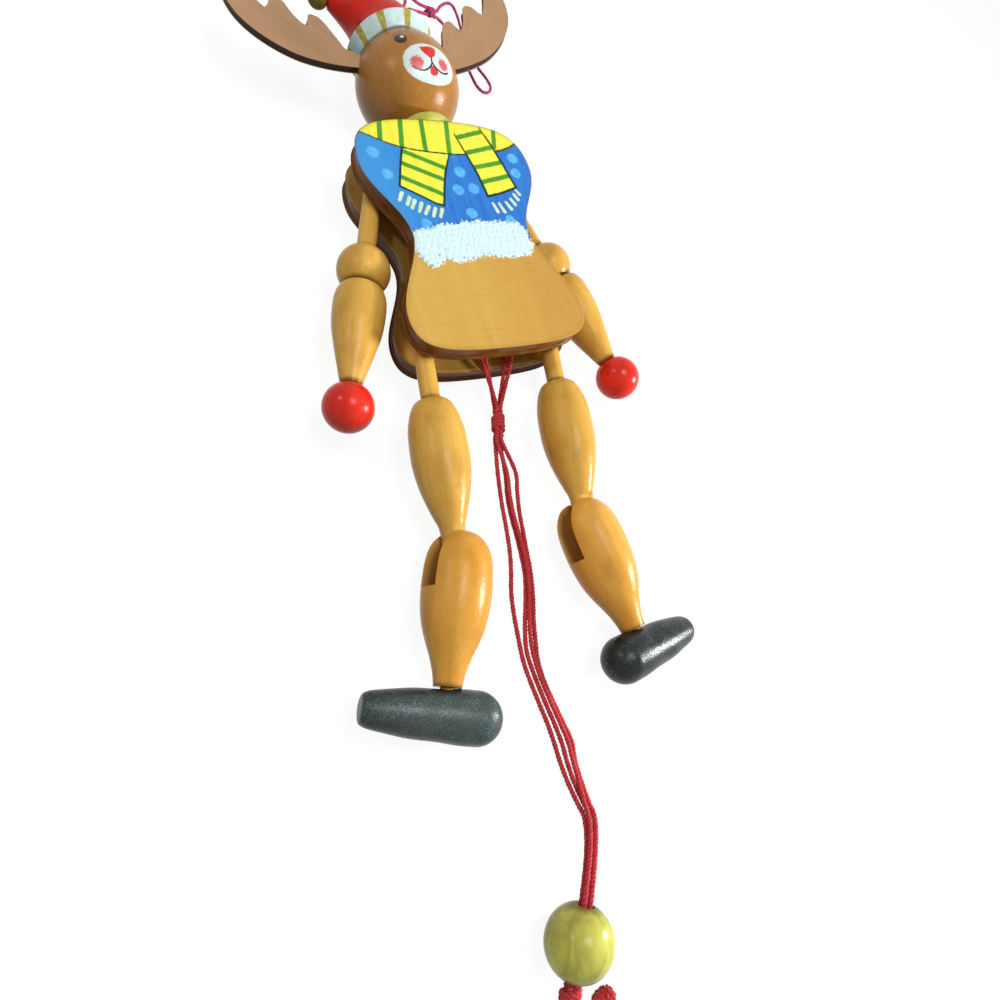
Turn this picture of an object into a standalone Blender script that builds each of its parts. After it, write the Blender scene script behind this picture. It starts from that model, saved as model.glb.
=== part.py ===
"""Jumping jack toy, a wooden figure between two boards, lying on its back on a surface.

Metres, +Z up. The toy has a frame of its own: x to the viewer's right, y to the head and
z out of the painted front, with its origin midway between the boards. The empty "toy"
lays that frame down, so that the back of the head and the right shoe touch the surface.
The pieces that lie on the surface by themselves, the cord and its bead, hang on "ground".
"""
from math import asin, atan2, cos, degrees, pi, radians, sin, sqrt

import bmesh
import bpy
from mathutils import Matrix, Vector

# Clearances
GAP = 0.0003            # between pieces that touch
PLAY = 0.0004           # each side of a tongue in its slot

# Boards
BOARD_THICK = 0.006
BOARD_SPACE = 0.009     # between the two boards
BOARD_TOP = 0.0370      # above the middle of the body
BOARD_BOTTOM = -0.0456
SHOULDER_HALF = 0.0302  # half widths at the three turns of the outline
SHOULDER_Y = 0.0208
WAIST_HALF = 0.0202
WAIST_Y = -0.0054
HIP_HALF = 0.0303
HIP_Y = -0.0341
TOP_FLAT = 0.0225       # lengths of the outline's curve handles
SHOULDER_ROUND = 0.0130
SIDE_ROUND = 0.0095
BASE_FLAT = 0.0240
EDGE_ROUND = 0.0005

# Joints of the limbs in the boards
SHOULDER_PIN = (0.0215, 0.0260)
HIP_PIN = (0.0230, -0.0260)
PIN_RADIUS = 0.00125
PIN_DEPTH = 0.0040      # blind hole in each board
SPACER_RADIUS = 0.0035
SPACER_Y = -0.0060
SPACER_DEPTH = 0.0030

# Stored pose, degrees from straight down, outward positive on both sides
ARM_OUT = (21.2, 15.0)
THIGH_OUT = (8.5, -8.7)
SHIN_OUT = (24.0, 6.0)

# Arm, distances down from the shoulder pin
ROD_RADIUS = 0.0030
ARM_LEVER = 0.0060      # cord hole above the pin
LEVER_TAIL = 0.0026     # wood past the cord hole
CORD_HOLE = 0.0010
ELBOW_DOWN = 0.0384
ELBOW_RADIUS = 0.0083
FOREARM_RADIUS = 0.0080
WRIST_RADIUS = 0.00315
HAND_DOWN = 0.0863
HAND_RADIUS = 0.0075
TENON_RADIUS = 0.0020
TENON_LENGTH = 0.0050

# Thigh, distances down from the hip pin
LEG_LEVER = 0.0052
LEG_LEVER_RADIUS = 0.0019
THIGH_START = 0.0304
THIGH_WIDEST = 0.0470
THIGH_RADIUS = 0.0088
NECK_RADIUS = 0.0038
NECK_START = 0.0702
TONGUE_RISE = 0.0110    # flats of the tongue start this far above the knee pin
TONGUE_THICK = 0.0060
KNEE_DOWN = 0.0815
KNEE_PIN_RADIUS = 0.0010
KNEE_PIN_HALF = 0.0075
KNEE_TWIST = (16.0, 9.0)    # degrees, slot turned about the leg so that it opens forward

# Shin, distances down from the knee pin
EAR_TOP = 0.0103        # above the pin
SLOT_FLOOR = 0.0075
SHIN_WIDEST = 0.0070
SHIN_RADIUS = 0.0100
CALF_BELOW = 0.0030     # the calf touches the surface this far below its widest
ANKLE_DOWN = 0.0330
ANKLE_RADIUS = 0.0039

# Shoe, distances from the line of the ankle along the shoe's own axis
SHOE_DROP = 0.00715     # axis below the ankle's end
SHOE_RADIUS = 0.0072
HEEL_BACK = 0.0160
TOE_FRONT = 0.0226
TOE_RADIUS = 0.0042
TOE_LIFT = (0.0, -11.3) # degrees, off the plane of the boards
TOE_DROP = (0.0, 3.5)   # degrees, toe below square to the shin
SHOE_TENON = 0.0035

# Head, heights from its centre
HEAD_CENTRE = (0.0007, 0.0608)
HEAD_RADIUS = 0.0181
HEAD_ROLL = 4.9         # degrees, top to the viewer's left
NECK_DOWEL_RADIUS = 0.0025
DOWEL_IN_HEAD = 0.0090
COLLAR_RADIUS = 0.0066
BLOCK_HALF = 0.0080
BLOCK_HEIGHT = 0.0140
BLOCK_SET = 0.0006      # block's top below the boards' top

# Antlers
ANTLER_THICK = 0.0025
ANTLER_LEVEL = (0.0022, -0.0008)
ANTLER_LEAN = (0.0, 9.4)
TAB_X = 0.0115
TAB_LOW = 0.0056
TAB_HIGH = 0.0102
ANTLER_SWEEP = [(0.0130, TAB_LOW), (0.0209, 0.0062), (0.0288, 0.0076), (0.0363, 0.0103),
                (0.0429, 0.0149), (0.0483, 0.0209), (0.0513, 0.0270), (0.0524, 0.0340),
                (0.0515, 0.0390), (0.0492, 0.0414)]
OUTER_TINE = [(0.0468, 0.0400), (0.0450, 0.0350), (0.0430, 0.0305), (0.0412, 0.0278)]
MIDDLE_TINE = [(0.0395, 0.0292), (0.0380, 0.0318), (0.0362, 0.0325), (0.0345, 0.0312),
               (0.0332, 0.0270), (0.0312, 0.0230), (0.0290, 0.0212)]
INNER_TINE = [(0.0280, 0.0238), (0.0268, 0.0263), (0.0248, 0.0258), (0.0234, 0.0240),
              (0.0221, 0.0206), (0.0205, 0.0160), (0.0194, 0.0130), (0.0148, TAB_HIGH)]

# Hat, heights from the head's centre
CUFF_LOW = 0.0123
CUFF_HIGH = 0.0181
CUFF_RADII = (0.0141, 0.0160)
HAT_DOWEL_RADIUS = 0.0025
HAT_DOWEL_DEPTH = 0.0060
HAT_BASE_RADIUS = 0.0135
HAT_END_RADIUS = 0.0026
HAT_LEAN = (-0.0160, 0.0192)    # from the cuff's top to the thin end
HAT_TIP_RADIUS = 0.0035
EYE_RING = 0.0019
EYE_WIRE = 0.0004
EYE_SHANK = 0.0040
EYE_SHARE = 0.30        # eye's place along the hat, on its upper side

# Pull bead, cord and knots, on the surface
CORD = 0.0013           # diameter of one strand
STRAND_SPACE = 0.00085  # strand's axis off the bundle's, sideways and upward
BEAD_RADIUS = 0.0090
BEAD_CENTRE = (-0.0357, -0.2061)
BEAD_HOLE = 0.0024
BEAD_AXIS = (0.48, 0.85, 0.20)
RISE_CENTRE = (-0.0232, -0.1899, 0.0066)    # where the strands climb to the bead
RISE_AXIS = (0.62, 0.64, -0.40)
KNOT_CENTRE = (-0.0029, -0.0633, 0.0037)
KNOT_AXIS = (-0.25, -0.95, -0.17)
KNOT_LENGTH = 0.0070
KNOT_RADIUS = 0.0023
BEAD_KNOT_LENGTH = 0.0050
BEAD_KNOT_RADIUS = 0.0028
END_KNOT_CENTRE = (-0.0321, -0.2234, 0.0029)
END_KNOT_AXIS = (0.95, 0.30, 0.0)
END_KNOT_LENGTH = 0.0065
END_KNOT_RADIUS = 0.0027
HANGER_CORD = 0.0011
HANGER_KNOT_CENTRE = (0.0311, 0.1162, 0.0080)
HANGER_KNOT_AXIS = (0.80, 0.35, -0.35)
HANGER_KNOT_LENGTH = 0.0045
HANGER_KNOT_RADIUS = 0.0019

STEPS = 18              # faces round a turned piece

LEFT, RIGHT = 0, 1
SIDES = ((LEFT, "left", -1.0), (RIGHT, "right", 1.0))


# Scene, materials and placing

def clear_scene():
    """Remove every object that a new file starts with."""
    for obj in list(bpy.data.objects):
        bpy.data.objects.remove(obj, do_unlink=True)


def material(name, rgb, roughness, metallic=0.0):
    """A plain Principled material with the piece's own colour."""
    mat = bpy.data.materials.new(name)
    mat.use_nodes = True
    shader = mat.node_tree.nodes["Principled BSDF"]
    shader.inputs["Base Color"].default_value = (*rgb, 1.0)
    shader.inputs["Roughness"].default_value = roughness
    shader.inputs["Metallic"].default_value = metallic
    mat.diffuse_color = (*rgb, 1.0)
    return mat


def empty(name, parent=None, location=(0, 0, 0), rotation=(0, 0, 0)):
    obj = bpy.data.objects.new(name, None)
    obj.parent = parent
    obj.location = location
    obj.rotation_euler = rotation
    bpy.context.scene.collection.objects.link(obj)
    return obj


def add_object(name, mesh, mat, parent, location=(0, 0, 0), rotation=(0, 0, 0)):
    mesh.name = name
    mesh.materials.clear()
    mesh.materials.append(mat)
    obj = bpy.data.objects.new(name, mesh)
    obj.parent = parent
    obj.location = location
    obj.rotation_euler = rotation
    bpy.context.scene.collection.objects.link(obj)
    return obj


def to_mesh(bm, smooth=True):
    """The bmesh as a mesh of outward faces, smooth on its round stretches."""
    bmesh.ops.recalc_face_normals(bm, faces=bm.faces)
    mesh = bpy.data.meshes.new("mesh")
    bm.to_mesh(mesh)
    bm.free()
    if smooth:
        mesh.shade_smooth()
        mesh.set_sharp_from_angle(angle=radians(40))
    return mesh


def cut(target, cutter):
    """Cut the cutter's shape out of the target; the cutter stays as a hidden guide."""
    cutter.hide_render = True
    cutter.display_type = "WIRE"
    modifier = target.modifiers.new("cut_" + cutter.name, "BOOLEAN")
    modifier.operation = "DIFFERENCE"
    modifier.solver = "EXACT"
    modifier.object = cutter


# Shapes

def bezier(a, b, c, d, count):
    """count points of a cubic curve from a towards d, d itself left out."""
    points = []
    for i in range(count):
        t = i / count
        s = 1 - t
        points.append(a * s ** 3 + b * (3 * s * s * t) + c * (3 * s * t * t) + d * t ** 3)
    return points


def smooth_through(points, per_span):
    """A Catmull-Rom curve through the points, its ends continued straight."""
    knots = [Vector(p) for p in points]
    knots = [2 * knots[0] - knots[1], *knots, 2 * knots[-1] - knots[-2]]
    curve = []
    for p, q, r, s in zip(knots, knots[1:], knots[2:], knots[3:]):
        for i in range(per_span):
            t = i / per_span
            curve.append(0.5 * (2 * q + (r - p) * t + (2 * p - 5 * q + 4 * r - s) * t ** 2
                                + (3 * q - p - 3 * r + s) * t ** 3))
    curve.append(knots[-2])
    return curve


def even_steps(curve, step):
    """Points along the curve about one step apart, its two ends among them."""
    lengths = [0.0]
    for a, b in zip(curve, curve[1:]):
        lengths.append(lengths[-1] + (b - a).length)
    count = max(2, round(lengths[-1] / step))
    points = []
    j = 0
    for i in range(count + 1):
        goal = lengths[-1] * i / count
        while j < len(curve) - 2 and lengths[j + 1] < goal:
            j += 1
        share = (goal - lengths[j]) / (lengths[j + 1] - lengths[j])
        points.append(curve[j].lerp(curve[j + 1], share))
    return points


def arc(centre, radius, start, end, count):
    """(distance, radius) pairs of a ball's profile between two distances along its axis."""
    first = atan2(sqrt(max(0.0, radius ** 2 - (start - centre) ** 2)), start - centre)
    last = atan2(sqrt(max(0.0, radius ** 2 - (end - centre) ** 2)), end - centre)
    pairs = []
    for i in range(count + 1):
        angle = first + (last - first) * i / count
        pairs.append((centre + radius * cos(angle), radius * sin(angle)))
    return pairs


def turned(profile, axis=Vector((0, -1, 0)), steps=STEPS):
    """Spin a profile of (distance along the axis, radius) pairs round the axis.

    The profile runs from one end to the other; both ends close on the axis.
    """
    side = Vector((0, 0, 1)) if abs(axis.z) < 0.5 else Vector((1, 0, 0))
    side = (side - axis * side.dot(axis)).normalized()
    bm = bmesh.new()
    pairs = [(profile[0][0], 0.0), *profile, (profile[-1][0], 0.0)]
    vertices = []
    for distance, radius in pairs:
        place = axis * distance + side * radius
        if not vertices or (place - vertices[-1].co).length > 1e-6:
            vertices.append(bm.verts.new(place))
    edges = [bm.edges.new(pair) for pair in zip(vertices, vertices[1:])]
    bmesh.ops.spin(bm, geom=vertices + edges, cent=(0, 0, 0), axis=axis, angle=2 * pi,
                   steps=steps, use_merge=True)
    bmesh.ops.remove_doubles(bm, verts=bm.verts, dist=1e-6)
    return to_mesh(bm)


def rod(radius, start, end, axis=Vector((0, -1, 0)), steps=12):
    """A plain cylinder between two distances along the axis."""
    return turned([(start, radius), (end, radius)], axis, steps)


def box(low, high):
    """A box between two corners."""
    bm = bmesh.new()
    bmesh.ops.create_cube(bm, size=1.0)
    size = [h - l for l, h in zip(low, high)]
    middle = [(l + h) / 2 for l, h in zip(low, high)]
    bmesh.ops.scale(bm, vec=size, verts=bm.verts)
    bmesh.ops.translate(bm, vec=middle, verts=bm.verts)
    return to_mesh(bm, smooth=False)


def slab(outline, low, high):
    """An outline in the plane, extruded between two heights."""
    bm = bmesh.new()
    vertices = [bm.verts.new((p.x, p.y, low)) for p in outline]
    face = bm.faces.new(vertices)
    raised = bmesh.ops.extrude_face_region(bm, geom=[face])
    top = [g for g in raised["geom"] if isinstance(g, bmesh.types.BMVert)]
    bmesh.ops.translate(bm, vec=(0, 0, high - low), verts=top)
    return to_mesh(bm)


def cord(name, points, diameter, mat, parent, spacing=3.0):
    """A round cord along a smooth curve through the points, with flat filled ends.

    Its points are about spacing diameters apart.
    """
    path = even_steps(smooth_through(points, 12), spacing * diameter)
    data = bpy.data.curves.new(name, "CURVE")
    data.dimensions = "3D"
    spline = data.splines.new("POLY")
    spline.points.add(len(path) - 1)
    for point, place in zip(spline.points, path):
        point.co = (*place, 1.0)
    data.bevel_depth = diameter / 2
    data.bevel_resolution = 2
    data.use_fill_caps = True
    data.render_resolution_u = 0
    data.materials.append(mat)
    obj = bpy.data.objects.new(name, data)
    obj.parent = parent
    bpy.context.scene.collection.objects.link(obj)
    length = sum((b - a).length for a, b in zip(path, path[1:]))
    print(f"cord {name}: {length:.4f} m, {len(path)} points")
    return obj


# Pieces

def board_outline():
    """Fiddle shape: four curves down the right side, mirrored on the left."""
    top = Vector((0, BOARD_TOP))
    shoulder = Vector((SHOULDER_HALF, SHOULDER_Y))
    waist = Vector((WAIST_HALF, WAIST_Y))
    hip = Vector((HIP_HALF, HIP_Y))
    base = Vector((0, BOARD_BOTTOM))
    up = Vector((0, 1))
    out = Vector((1, 0))
    right = bezier(top, top + out * TOP_FLAT, shoulder + up * SHOULDER_ROUND, shoulder, 9)
    right += bezier(shoulder, shoulder - up * SIDE_ROUND, waist + up * SIDE_ROUND, waist, 7)
    right += bezier(waist, waist - up * SIDE_ROUND, hip + up * SIDE_ROUND, hip, 7)
    right += bezier(hip, hip - up * SIDE_ROUND, base + out * BASE_FLAT, base, 9)
    left = [Vector((-p.x, p.y)) for p in reversed(right[1:])]
    return right + [base] + left


def make_boards(toy, wood, painted):
    """Front and back board with the blind holes of the pins and the spacer."""
    inner = BOARD_SPACE / 2
    outer = inner + BOARD_THICK
    boards = {}
    for name, low, high, mat in (("board_back", -outer, -inner, wood),
                                 ("board_front", inner, outer, painted)):
        board = add_object(name, slab(board_outline(), low, high), mat, toy)
        rounding = board.modifiers.new("edges", "BEVEL")
        rounding.width = EDGE_ROUND
        rounding.segments = 1
        rounding.limit_method = "ANGLE"
        rounding.angle_limit = radians(50)
        boards[name] = board
    holes = [("shoulder", side, SHOULDER_PIN, PIN_RADIUS, PIN_DEPTH) for side in (-1, 1)]
    holes += [("hip", side, HIP_PIN, PIN_RADIUS, PIN_DEPTH) for side in (-1, 1)]
    holes += [("spacer", 0, (0, SPACER_Y), SPACER_RADIUS, SPACER_DEPTH)]
    for label, side, (x, y), radius, depth in holes:
        reach = inner + depth
        mesh = rod(radius + GAP, -reach, reach, Vector((0, 0, 1)))
        cutter = add_object(f"cut_{label}_{side + 1}", mesh, wood, toy, (side * x, y, 0))
        for board in boards.values():
            cut(board, cutter)
    return boards


def make_pins(toy, steel, wood):
    """Four blind pins and the waist spacer between the boards."""
    pin_half = BOARD_SPACE / 2 + PIN_DEPTH - GAP
    for _, label, sign in SIDES:
        for kind, (x, y) in (("shoulder_pin", SHOULDER_PIN), ("hip_pin", HIP_PIN)):
            mesh = rod(PIN_RADIUS, -pin_half, pin_half, Vector((0, 0, 1)))
            add_object(f"{kind}_{label}", mesh, steel, toy, (sign * x, y, 0))
    spacer_half = BOARD_SPACE / 2 + SPACER_DEPTH - GAP
    mesh = rod(SPACER_RADIUS, -spacer_half, spacer_half, Vector((0, 0, 1)), 16)
    add_object("waist_spacer", mesh, wood, toy, (0, SPACER_Y, 0))


def make_neck(toy, wood, collar_paint):
    """Neck block between the boards, dowel and painted collar."""
    half = BOARD_SPACE / 2 - GAP
    top = BOARD_TOP - BLOCK_SET
    low = top - BLOCK_HEIGHT
    head_x, head_y = HEAD_CENTRE
    block = add_object("neck_block", box((-BLOCK_HALF, low, -half), (BLOCK_HALF, top, half)),
                       wood, toy)
    dowel_low = low + BLOCK_HEIGHT / 4
    dowel_high = head_y - HEAD_RADIUS + DOWEL_IN_HEAD
    up = Vector((0, 1, 0))
    add_object("neck_dowel", rod(NECK_DOWEL_RADIUS, dowel_low, dowel_high, up), wood, toy,
               (head_x, 0, 0))
    bore = add_object("cut_neck_dowel",
                      rod(NECK_DOWEL_RADIUS + GAP, dowel_low - GAP, dowel_high + GAP, up),
                      wood, toy, (head_x, 0, 0))
    cut(block, bore)
    foot = BOARD_TOP + GAP
    rim = COLLAR_RADIUS - 0.0008
    crown = head_y - sqrt(HEAD_RADIUS ** 2 - rim ** 2) - GAP
    profile = [(foot, rim), (foot + 0.0015, COLLAR_RADIUS), (crown - 0.0012, COLLAR_RADIUS),
               (crown, rim), (crown - 0.0006, NECK_DOWEL_RADIUS + GAP)]
    collar = add_object("neck_collar", turned(profile, up), collar_paint, toy, (head_x, 0, 0))
    cut(collar, bore)
    return bore


def make_head(toy, wood, neck_bore):
    """Turned ball, flat on top under the hat; the frame "head_frame" is at its centre."""
    head_x, head_y = HEAD_CENTRE
    frame = empty("head_frame", toy, (head_x, head_y, 0), (0, 0, radians(HEAD_ROLL)))
    up = Vector((0, 1, 0))
    flat = CUFF_LOW - GAP
    ball = arc(0, HEAD_RADIUS, -HEAD_RADIUS, flat, 14)
    head = add_object("head", turned(ball, up, 24), wood, frame)
    cut(head, neck_bore)
    reach = CUFF_HIGH + HAT_DOWEL_DEPTH
    low = CUFF_LOW - HAT_DOWEL_DEPTH
    hat_bore = add_object("cut_hat_dowel", rod(HAT_DOWEL_RADIUS + GAP, low - GAP, reach + GAP,
                                               up), wood, frame)
    cut(head, hat_bore)
    add_object("hat_dowel", rod(HAT_DOWEL_RADIUS, low, reach, up), wood, frame)
    return frame, head, hat_bore


def antler_outline():
    """Right antler seen from the front: lower sweep, three tines, tab in the head."""
    edge = [p for line in (ANTLER_SWEEP, OUTER_TINE, MIDDLE_TINE, INNER_TINE)
            for p in smooth_through(line, 2)]
    tab = [Vector((TAB_X, TAB_HIGH)), Vector((TAB_X, TAB_LOW))]
    return edge + tab


def make_antlers(frame, head, stain):
    """Two sawn boards with their tabs in slots of the head."""
    half = ANTLER_THICK / 2
    for index, label, sign in SIDES:
        outline = [Vector((sign * p.x, p.y)) for p in antler_outline()]
        lean = (0, -sign * radians(ANTLER_LEAN[index]), 0)
        pivot = empty(f"antler_frame_{label}", frame, (0, 0, 0), lean)
        place = (0, 0, ANTLER_LEVEL[index])
        add_object(f"antler_{label}", slab(outline, -half, half), stain, pivot, place)
        near = (TAB_X - GAP) * sign
        far = HEAD_RADIUS * 1.3 * sign
        low = (min(near, far), TAB_LOW - GAP, -half - GAP)
        high = (max(near, far), TAB_HIGH + GAP, half + GAP)
        cut(head, add_object(f"cut_antler_{label}", box(low, high), stain, pivot, place))


def hat_ring(share):
    """Centre, normal and radius of the hat's section, from base (0) to thin end (1)."""
    base = Vector((0, CUFF_HIGH + GAP, 0))
    end = base + Vector((*HAT_LEAN, 0))
    lift = base + Vector((0, HAT_LEAN[1] * 0.55, 0))
    side = end - Vector((HAT_LEAN[0] * 0.45, HAT_LEAN[1] * 0.10, 0))
    t, s = share, 1 - share
    centre = base * s ** 3 + lift * (3 * s * s * t) + side * (3 * s * t * t) + end * t ** 3
    slope = (lift - base) * (3 * s * s) + (side - lift) * (6 * s * t) + (end - side) * (3 * t * t)
    radius = HAT_END_RADIUS + (HAT_BASE_RADIUS - HAT_END_RADIUS) * (1 - t ** 1.25)
    return centre, slope.normalized(), radius


def make_hat(frame, cuff_paint, red, gold, steel, hat_bore):
    """Turned cuff, leaning cone, gold tip and the wire eye that the loop hangs on."""
    up = Vector((0, 1, 0))
    low, high = CUFF_RADII
    edge = 0.0006
    profile = [(CUFF_LOW, low - edge), (CUFF_LOW + edge, low), (CUFF_HIGH - edge, high),
               (CUFF_HIGH, high - edge)]
    cuff = add_object("hat_cuff", turned(profile, up, 24), cuff_paint, frame)
    cut(cuff, hat_bore)
    bm = bmesh.new()
    rings = 9
    loops = []
    for i in range(rings + 1):
        centre, normal, radius = hat_ring(i / rings)
        turn = Vector((0, 0, 1)).rotation_difference(normal).to_matrix().to_4x4()
        ring = bmesh.ops.create_circle(bm, cap_ends=i in (0, rings), segments=20, radius=radius,
                                       matrix=Matrix.Translation(centre) @ turn)
        loops.append(ring["verts"])
    for below, above in zip(loops, loops[1:]):
        edges = [e for loop in (below, above) for e in {e for v in loop for e in v.link_edges
                 if e.other_vert(v) in loop}]
        bmesh.ops.bridge_loops(bm, edges=edges)
    cone = add_object("hat_cone", to_mesh(bm), red, frame)
    cut(cone, hat_bore)
    end, normal, _ = hat_ring(1.0)
    tip = end + normal * (HAT_TIP_RADIUS + GAP)
    ball = arc(0, HAT_TIP_RADIUS, -HAT_TIP_RADIUS, HAT_TIP_RADIUS, 8)
    add_object("hat_tip", turned(ball, up, 12), gold, frame, tip)
    make_eye(frame, cone, steel)


def make_eye(frame, cone, steel):
    """A ring of wire on a shank that is screwed into the hat's crown."""
    centre, normal, radius = hat_ring(EYE_SHARE)
    outward = Vector((normal.y, -normal.x, 0))
    place = centre + outward * (radius + EYE_RING + EYE_WIRE + GAP)
    tilt = (0, 0, atan2(-outward.x, outward.y))
    up = Vector((0, 1, 0))
    bm = bmesh.new()
    around, across = 14, 6
    rings = []
    for i in range(around):
        a = 2 * pi * i / around
        ring = []
        for j in range(across):
            b = 2 * pi * j / across
            reach = EYE_RING + EYE_WIRE * cos(b)
            ring.append(bm.verts.new((reach * cos(a), reach * sin(a), EYE_WIRE * sin(b))))
        rings.append(ring)
    for i in range(around):
        here, there = rings[i], rings[(i + 1) % around]
        for j in range(across):
            k = (j + 1) % across
            bm.faces.new((here[j], there[j], there[k], here[k]))
    ring = add_object("hanger_eye", to_mesh(bm), steel, frame, place, tilt)
    shank_top = -EYE_RING
    shank_low = shank_top - EYE_SHANK
    shank = add_object("add_shank", rod(EYE_WIRE * 1.3, shank_low, shank_top, up, 8), steel,
                       frame, place, tilt)
    shank.hide_render = True
    shank.display_type = "WIRE"
    join = ring.modifiers.new("shank", "BOOLEAN")
    join.operation = "UNION"
    join.solver = "EXACT"
    join.object = shank
    bore = rod(EYE_WIRE * 1.3 + GAP, shank_low - GAP, shank_top, up, 8)
    cut(cone, add_object("cut_shank", bore, steel, frame, place, tilt))


def cross_hole(name, down, radius, wood, owner, along=Vector((0, 0, 1)), half=None):
    """Drill across a limb at a distance down its axis."""
    reach = half or 2 * ROD_RADIUS
    cutter = add_object(name, rod(radius, -reach, reach, along), wood, owner, (0, -down, 0))
    cut(owner, cutter)


def lever_end(down, radius):
    """Rounded end of a rod that reaches up past its pin."""
    tip = -down - LEVER_TAIL
    return arc(tip + radius, radius, tip, tip + radius, 3)


def make_arm(toy, index, label, sign, wood, red):
    """Arm with its origin on the shoulder pin, and the hand on its wrist."""
    groove = ELBOW_DOWN + 0.0066
    rod_meets = sqrt(ELBOW_RADIUS ** 2 - ROD_RADIUS ** 2)
    hole = TENON_RADIUS + GAP
    wrist_end = HAND_DOWN - sqrt(HAND_RADIUS ** 2 - hole ** 2) - GAP
    full = FOREARM_RADIUS
    swell = [(groove, 0.0050), (groove + 0.0016, full - 0.0009), (groove + 0.0045, full - 0.0001),
             (groove + 0.0095, full), (groove + 0.0150, full - 0.0005),
             (groove + 0.0210, full - 0.0018), (groove + 0.0270, full - 0.0033),
             (groove + 0.0310, full - 0.0043), (wrist_end, WRIST_RADIUS)]
    profile = lever_end(ARM_LEVER, ROD_RADIUS)
    profile += arc(ELBOW_DOWN, ELBOW_RADIUS, ELBOW_DOWN - rod_meets, groove - 0.0002, 7)
    profile += swell
    profile += [(wrist_end, TENON_RADIUS), (wrist_end + TENON_LENGTH, TENON_RADIUS)]
    x, y = SHOULDER_PIN
    turn = (0, 0, sign * radians(ARM_OUT[index]))
    arm = add_object(f"arm_{label}", turned(profile), wood, toy, (sign * x, y, 0), turn)
    cross_hole(f"cut_arm_pin_{label}", 0, PIN_RADIUS + GAP, wood, arm)
    cross_hole(f"cut_arm_cord_{label}", -ARM_LEVER, CORD_HOLE, wood, arm, Vector((1, 0, 0)))
    ball = arc(0, HAND_RADIUS, -HAND_RADIUS, HAND_RADIUS, 11)
    hand = add_object(f"hand_{label}", turned(ball), red, arm, (0, -HAND_DOWN, 0))
    start = wrist_end - HAND_DOWN
    bore = rod(hole, start - HAND_RADIUS, start + TENON_LENGTH + GAP)
    cut(hand, add_object(f"cut_wrist_{label}", bore, wood, hand))
    return arm


def knee_axis(index):
    """Direction of the knee pin in the shin's own frame, square to the slot."""
    twist = radians(KNEE_TWIST[index])
    return Vector((sin(twist), 0, cos(twist)))


def make_thigh(toy, index, label, sign, wood):
    """Thigh with its origin on the hip pin and a flat tongue at the knee."""
    full = THIGH_RADIUS
    bulb = [(THIGH_START, ROD_RADIUS + 0.0008), (THIGH_START + 0.0016, full - 0.0030),
            (THIGH_START + 0.0048, full - 0.0014), (THIGH_START + 0.0100, full - 0.0003),
            (THIGH_WIDEST, full), (THIGH_WIDEST + 0.0050, full - 0.0002),
            (THIGH_WIDEST + 0.0100, full - 0.0010), (THIGH_WIDEST + 0.0150, full - 0.0023),
            (THIGH_WIDEST + 0.0195, full - 0.0038), (NECK_START, NECK_RADIUS)]
    profile = lever_end(LEG_LEVER, LEG_LEVER_RADIUS)
    profile += [(-PIN_RADIUS, ROD_RADIUS), (THIGH_START - 0.0002, ROD_RADIUS)]
    profile += bulb
    profile += arc(KNEE_DOWN, NECK_RADIUS, KNEE_DOWN, KNEE_DOWN + NECK_RADIUS, 5)
    x, y = HIP_PIN
    turn = (0, 0, sign * radians(THIGH_OUT[index]))
    thigh = add_object(f"thigh_{label}", turned(profile), wood, toy, (sign * x, y, 0), turn)
    cross_hole(f"cut_thigh_pin_{label}", 0, PIN_RADIUS + GAP, wood, thigh)
    cross_hole(f"cut_thigh_cord_{label}", -LEG_LEVER, CORD_HOLE, wood, thigh, Vector((1, 0, 0)))
    half = TONGUE_THICK / 2
    wide = 2 * NECK_RADIUS
    knee_turn = sign * radians(SHIN_OUT[index] - THIGH_OUT[index])
    for face in (-1, 1):
        low = (-wide, -wide, min(face * half, face * wide))
        high = (wide, TONGUE_RISE, max(face * half, face * wide))
        cut(thigh, add_object(f"cut_tongue_{label}_{face + 1}", box(low, high), wood, thigh,
                              (0, -KNEE_DOWN, 0), (0, radians(KNEE_TWIST[index]), knee_turn)))
    along = Matrix.Rotation(knee_turn, 3, "Z") @ knee_axis(index)
    cross_hole(f"cut_knee_{label}", KNEE_DOWN, KNEE_PIN_RADIUS + GAP, wood, thigh, along)
    return thigh


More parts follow.
